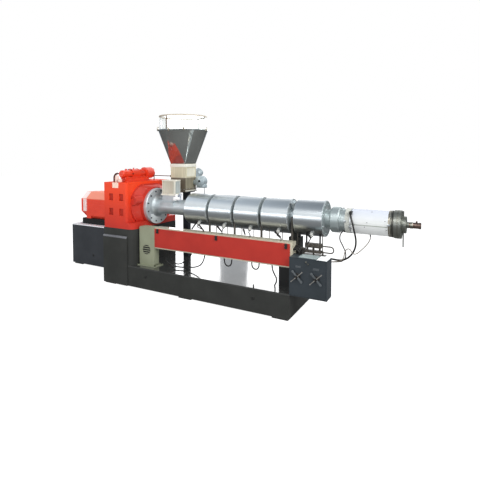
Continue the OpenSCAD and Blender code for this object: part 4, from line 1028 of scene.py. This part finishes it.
rod = lever("rod", 0.078, 0.008, 0.006, -0.026, 0.006)
dress(copies("handle_rods", rod, handle_places(-43)), "handle_rod", "valve_handles")
wide = lever("lever", 0.066, 0.020, 0.008, -0.014, 0.013)
dress(copies("handle_levers", wide, handle_places(47)), "handle_grey",
      "valve_handles")
hub = round_bar("hub", (0, -0.016, 0), 0.013, 0.032, 0.002, axis="Y")
hub_plate = round_bar("hub_plate", (0, -0.002, 0), 0.034, 0.004, 0.001, axis="Y", sides=48)
dress(copies("handle_hubs", join("hub", [hub, hub_plate]), handle_places(0)),
      "black_plastic", replaced="valve_handles")

# %% [markdown]
# ## Sleeve bands and seams
# The white sleeve is a rolled sheet: a seam along its side, a few screws, and a band at each
# end, closed by a screw block. Beyond it a grey and a black band ring the end.

# %% Sleeve bands
SLEEVE_R = 0.128
SCREW_SPOTS = ((2.823, 6), (2.800, -15), (2.993, 17), (3.005, -24), (2.670, -30), (2.86, 62))


def band(name, x, radius, width, thick=0.002):
    hoop = round_bar(name, (x, 0, AXIS_Z), radius + thick, width, axis="X", sides=96,
                     ends="NOTHING")
    apply_modifier(hoop, "SOLIDIFY", thickness=thick, offset=-1)
    return soften(hoop, thick * 0.3)


def on_sleeve(x, degrees, radius=SLEEVE_R):
    turn = radians(degrees)
    return turned((x, -radius * cos(turn), AXIS_Z + radius * sin(turn)), pi / 2 - turn, "X")


bands = [band("band", 2.656, SLEEVE_R, 0.010)]
lock = block("lock", (-0.012, -0.010, 0.0), (0.012, 0.010, 0.014), 0.002)
bands.append(copies("locks", lock, [on_sleeve(2.656, -20, 0.130), on_sleeve(3.029, 2, 0.131)]))
dress(join("sleeve_bands", bands), "bright_steel")
dress(band("beige_band", 3.027, SLEEVE_R, 0.014, 0.003), "clip_metal")
dress(band("grey_band", 3.0535, 0.131, 0.0335, 0.0012), "dull_steel")
dress(band("black_band", 3.058, 0.1324, 0.009, 0.0012), "black_steel")
seam = block("seam", (0, -0.004, -0.001), (0.352, 0.004, 0.0012), 0.0006)
dress(copies("sleeve_seam", seam, [on_sleeve(2.664, -8)]), "seam_grey")
dark_screws("sleeve_screws", cap_screw(0.004, 0.003), [on_sleeve(*at) for at in SCREW_SPOTS])

# %% Outlet fittings
nut = round_bar("outlet_nut", (3.222, 0, AXIS_Z), 0.034, 0.026, 0.003, axis="X", sides=6)
ring = round_bar("outlet_ring", (3.298, 0, AXIS_Z), 0.0315, 0.016, 0.001, axis="X", sides=48,
                 ends="NOTHING")
apply_modifier(ring, "SOLIDIFY", thickness=0.0035, offset=-1)
nub = round_bar("outlet_nub", (3.268, 0, AXIS_Z + 0.036), 0.008, 0.018, 0.002, sides=24)
dress(join("outlet_fittings", [ring, nub]), "tinted_steel")
dress(nut, "dull_steel")
dress(band("flange_ring", 3.104, 0.140, 0.008), "dull_steel")

# %% [markdown]
# ## Base details
# Round plugs close the lifting holes in the base and the stand, and a small pin stands at the
# edge of the top plate. Screws hold the duct post and the barrel support.

# %% Base plugs and screws
PLUG_Z = 0.172
PLUGS = ((1.711, -0.437, "-Y"), (0.20, -0.437, "-Y"), (-1.240, -0.006, "-Y"),
         (1.711, 0.437, "+Y"), (0.20, 0.437, "+Y"))

plug = round_bar("plug", (0, 0, 0.002), 0.017, 0.004, 0.001)
inset_push(plug, looks(z=1), 0.004, (0, 0, -0.002))
dress(copies("lifting_plugs", plug, [spot((x, y, PLUG_Z), way) for x, y, way in PLUGS]),
      "black_plastic")
dark_screws("edge_pin", hex_screw(0.006, 0.030), [spot((1.707, -0.420, 0.283))])
post_spots = [spot((x, y, 0.295)) for x in (0.008, 0.272) for y in (-0.345, -0.215)]
dark_screws("post_screws", hex_screw(0.008, 0.008), post_spots)
support_spots = [spot((x, y, 0.299)) for x in (1.955, 2.090) for y in (-0.092, 0.092)]
dark_screws("support_screws", hex_screw(0.008, 0.010), support_spots)

# %% Strain reliefs
BOOTS = [((2.462, -0.262, 0.644), 0.015), ((2.428, -0.262, 0.610), 0.012),
         ((2.490, -0.262, 0.612), 0.011)]
boots = [copies("boot", taper("boot", radius, 0.034, 32, 0.72, 0.001), [spot(place, "+Y")])
         for place, radius in BOOTS]
dress(join("strain_reliefs", boots), "black_plastic")

# %% [markdown]
# ## Studio
# A pale floor, a big soft lamp overhead, a key lamp past the outlet end, a long low strip that
# puts the band of light on the drums, and a small lamp whose sparks show on rounded paint. Two
# window-like lamps behind put the glare on the top plate. The world is white for the camera,
# a soft grey for the light that it adds, and a sky with brighter and darker parts for mirrors.
# Mirrors also see a darker floor and not the lamp overhead.

# %% Floor
FLOOR_SIZE = 60.0
FLOOR_COLOUR = "#9a9a9a"
FLOOR_IN_MIRRORS = "#6a6a6a"
FLOOR_SHOWN = 0.92
FLOOR_LIT = 0.38
FLOOR_MIRRORED = 0.05


def make_floor():
    bpy.ops.mesh.primitive_plane_add(size=FLOOR_SIZE, location=(1, 0, -0.001))
    floor = bpy.context.object
    floor.name = "studio_floor"
    material, tree, shader = start_material(
        "studio_floor", FLOOR_COLOUR, 0.9, Specular_IOR_Level=0.1)
    path = add_node(tree, "LightPath")
    mirror = path.outputs["Is Glossy Ray"]
    lit = add_node(tree, "Math", {
        0: mirror, 1: FLOOR_MIRRORED - FLOOR_LIT, 2: FLOOR_LIT}, operation="MULTIPLY_ADD")
    glow = add_node(tree, "Math", {
        0: path.outputs["Is Camera Ray"], 1: FLOOR_SHOWN - FLOOR_LIT, 2: lit.outputs[0]},
        operation="MULTIPLY_ADD")
    colour = add_node(tree, "Mix", {
        "Factor": mirror, "A": linear(FLOOR_COLOUR), "B": linear(FLOOR_IN_MIRRORS)},
        data_type="RGBA")
    feed(tree, shader, {"Emission Color": linear("#ffffff"),
        "Emission Strength": glow.outputs[0], "Base Color": colour.outputs["Result"]})
    floor.data.materials.append(material)
    bpy.ops.object.transform_apply(location=True)
    floor.select_set(False)
    print("floor", FLOOR_SIZE, "m wide")


# %% Lamps
LAMPS = {
    "top": ((0.4, 2.2, 6.0), (0.4, 0, 0.5), (7.0, 4.0), 230),
    "key": ((6.0, -2.0, 4.2), (0.8, 0, 1.0), (3.0, 2.5), 260),
    "window_left": ((-3.72, 6.0, 2.45), (0.9, 0, 0.5), (1.8, 1.2), 22),
    "window_right": ((-0.52, 6.0, 2.45), (0.9, 0, 0.5), (2.2, 1.2), 24),
    "strip": ((-1.2, -5.2, 1.75), (0.7, 0, 0.9), (7.0, 0.8), 78),
    "spark": ((2.2, -4.2, 4.6), (0.2, 0, 1.0), (0.5, 0.5), 40),
}


def make_lamp(name, at, aim, size, power):
    data = bpy.data.lights.new(name, "AREA")
    data.shape = "RECTANGLE"
    data.size, data.size_y = size
    data.energy = power
    lamp = bpy.data.objects.new(name, data)
    scene.collection.objects.link(lamp)
    lamp.location = at
    away = [a - b for a, b in zip(at, aim)]
    flat = hypot(away[0], away[1])
    lamp.rotation_euler = (atan2(flat, away[2]), 0, atan2(away[0], -away[1]))
    lamp.visible_camera = False
    lamp.visible_glossy = name != "top"
    print("lamp", name, power, "W")


# %% World
SKY_LEVEL = 1.3
SKY_STOPS = ((0.36, "#dadcde"), (0.52, "#ffffff"), (0.66, "#f6f9fc"), (0.8, "#b5bdc6"))


def sky_gradient(tree):
    """what a mirror sees: blue-grey near the horizon, white above it, grey overhead, and
    brighter overhead towards the motor end, where the roof lights are"""
    where = add_node(tree, "TexCoord")
    split = add_node(tree, "SeparateXYZ", {"Vector": where.outputs["Generated"]})
    ramp = add_node(tree, "ValToRGB", {"Fac": split.outputs["Z"]})
    stops = ramp.color_ramp.elements
    stops[0].position, stops[0].color = 0.0, linear("#7c8895")
    stops[1].position, stops[1].color = 1.0, linear("#adb5be")
    for place, colour in SKY_STOPS:
        stops.new(place).color = linear(colour)
    roof = add_node(tree, "MapRange", {"Value": split.outputs["X"],
        "From Min": -0.6, "From Max": -0.3, "To Min": 0.8, "To Max": -0.7})
    overhead = add_node(tree, "MapRange", {
        "Value": split.outputs["Z"], "From Min": 0.62, "From Max": 0.8})
    level = add_node(tree, "Math", {
        0: roof.outputs["Result"], 1: overhead.outputs["Result"], 2: SKY_LEVEL},
        operation="MULTIPLY_ADD")
    return {"Color": ramp.outputs["Color"], "Strength": level.outputs[0]}


def make_world():
    world = bpy.data.worlds.new("studio")
    world.use_nodes = True
    tree = world.node_tree
    tree.nodes.clear()
    rays = add_node(tree, "LightPath").outputs
    camera, mirror, glass = [
        rays[f"Is {kind} Ray"] for kind in ("Camera", "Glossy", "Transmission")]
    seen = add_node(tree, "Math", {0: camera, 1: mirror}, operation="MAXIMUM")
    clear = add_node(tree, "Math", {0: seen.outputs[0], 1: glass}, operation="MAXIMUM")
    only = add_node(tree, "Math", {0: mirror, 1: glass}, operation="SUBTRACT", use_clamp=True)
    light = add_node(tree, "Background", {"Color": linear("#e8ecf0"), "Strength": 0.55})
    shown = add_node(tree, "Background", {"Color": linear("#ffffff"), "Strength": 1.0})
    mirrored = add_node(tree, "Background", sky_gradient(tree))
    glossy = add_node(tree, "MixShader", {
        0: only.outputs[0], 1: shown.outputs[0], 2: mirrored.outputs[0]})
    mix = add_node(tree, "MixShader", {
        0: clear.outputs[0], 1: light.outputs[0], 2: glossy.outputs[0]})
    add_node(tree, "OutputWorld", {"Surface": mix.outputs[0]})
    scene.world = world


make_floor()
for name, facts in LAMPS.items():
    make_lamp(name, *facts)
make_world()
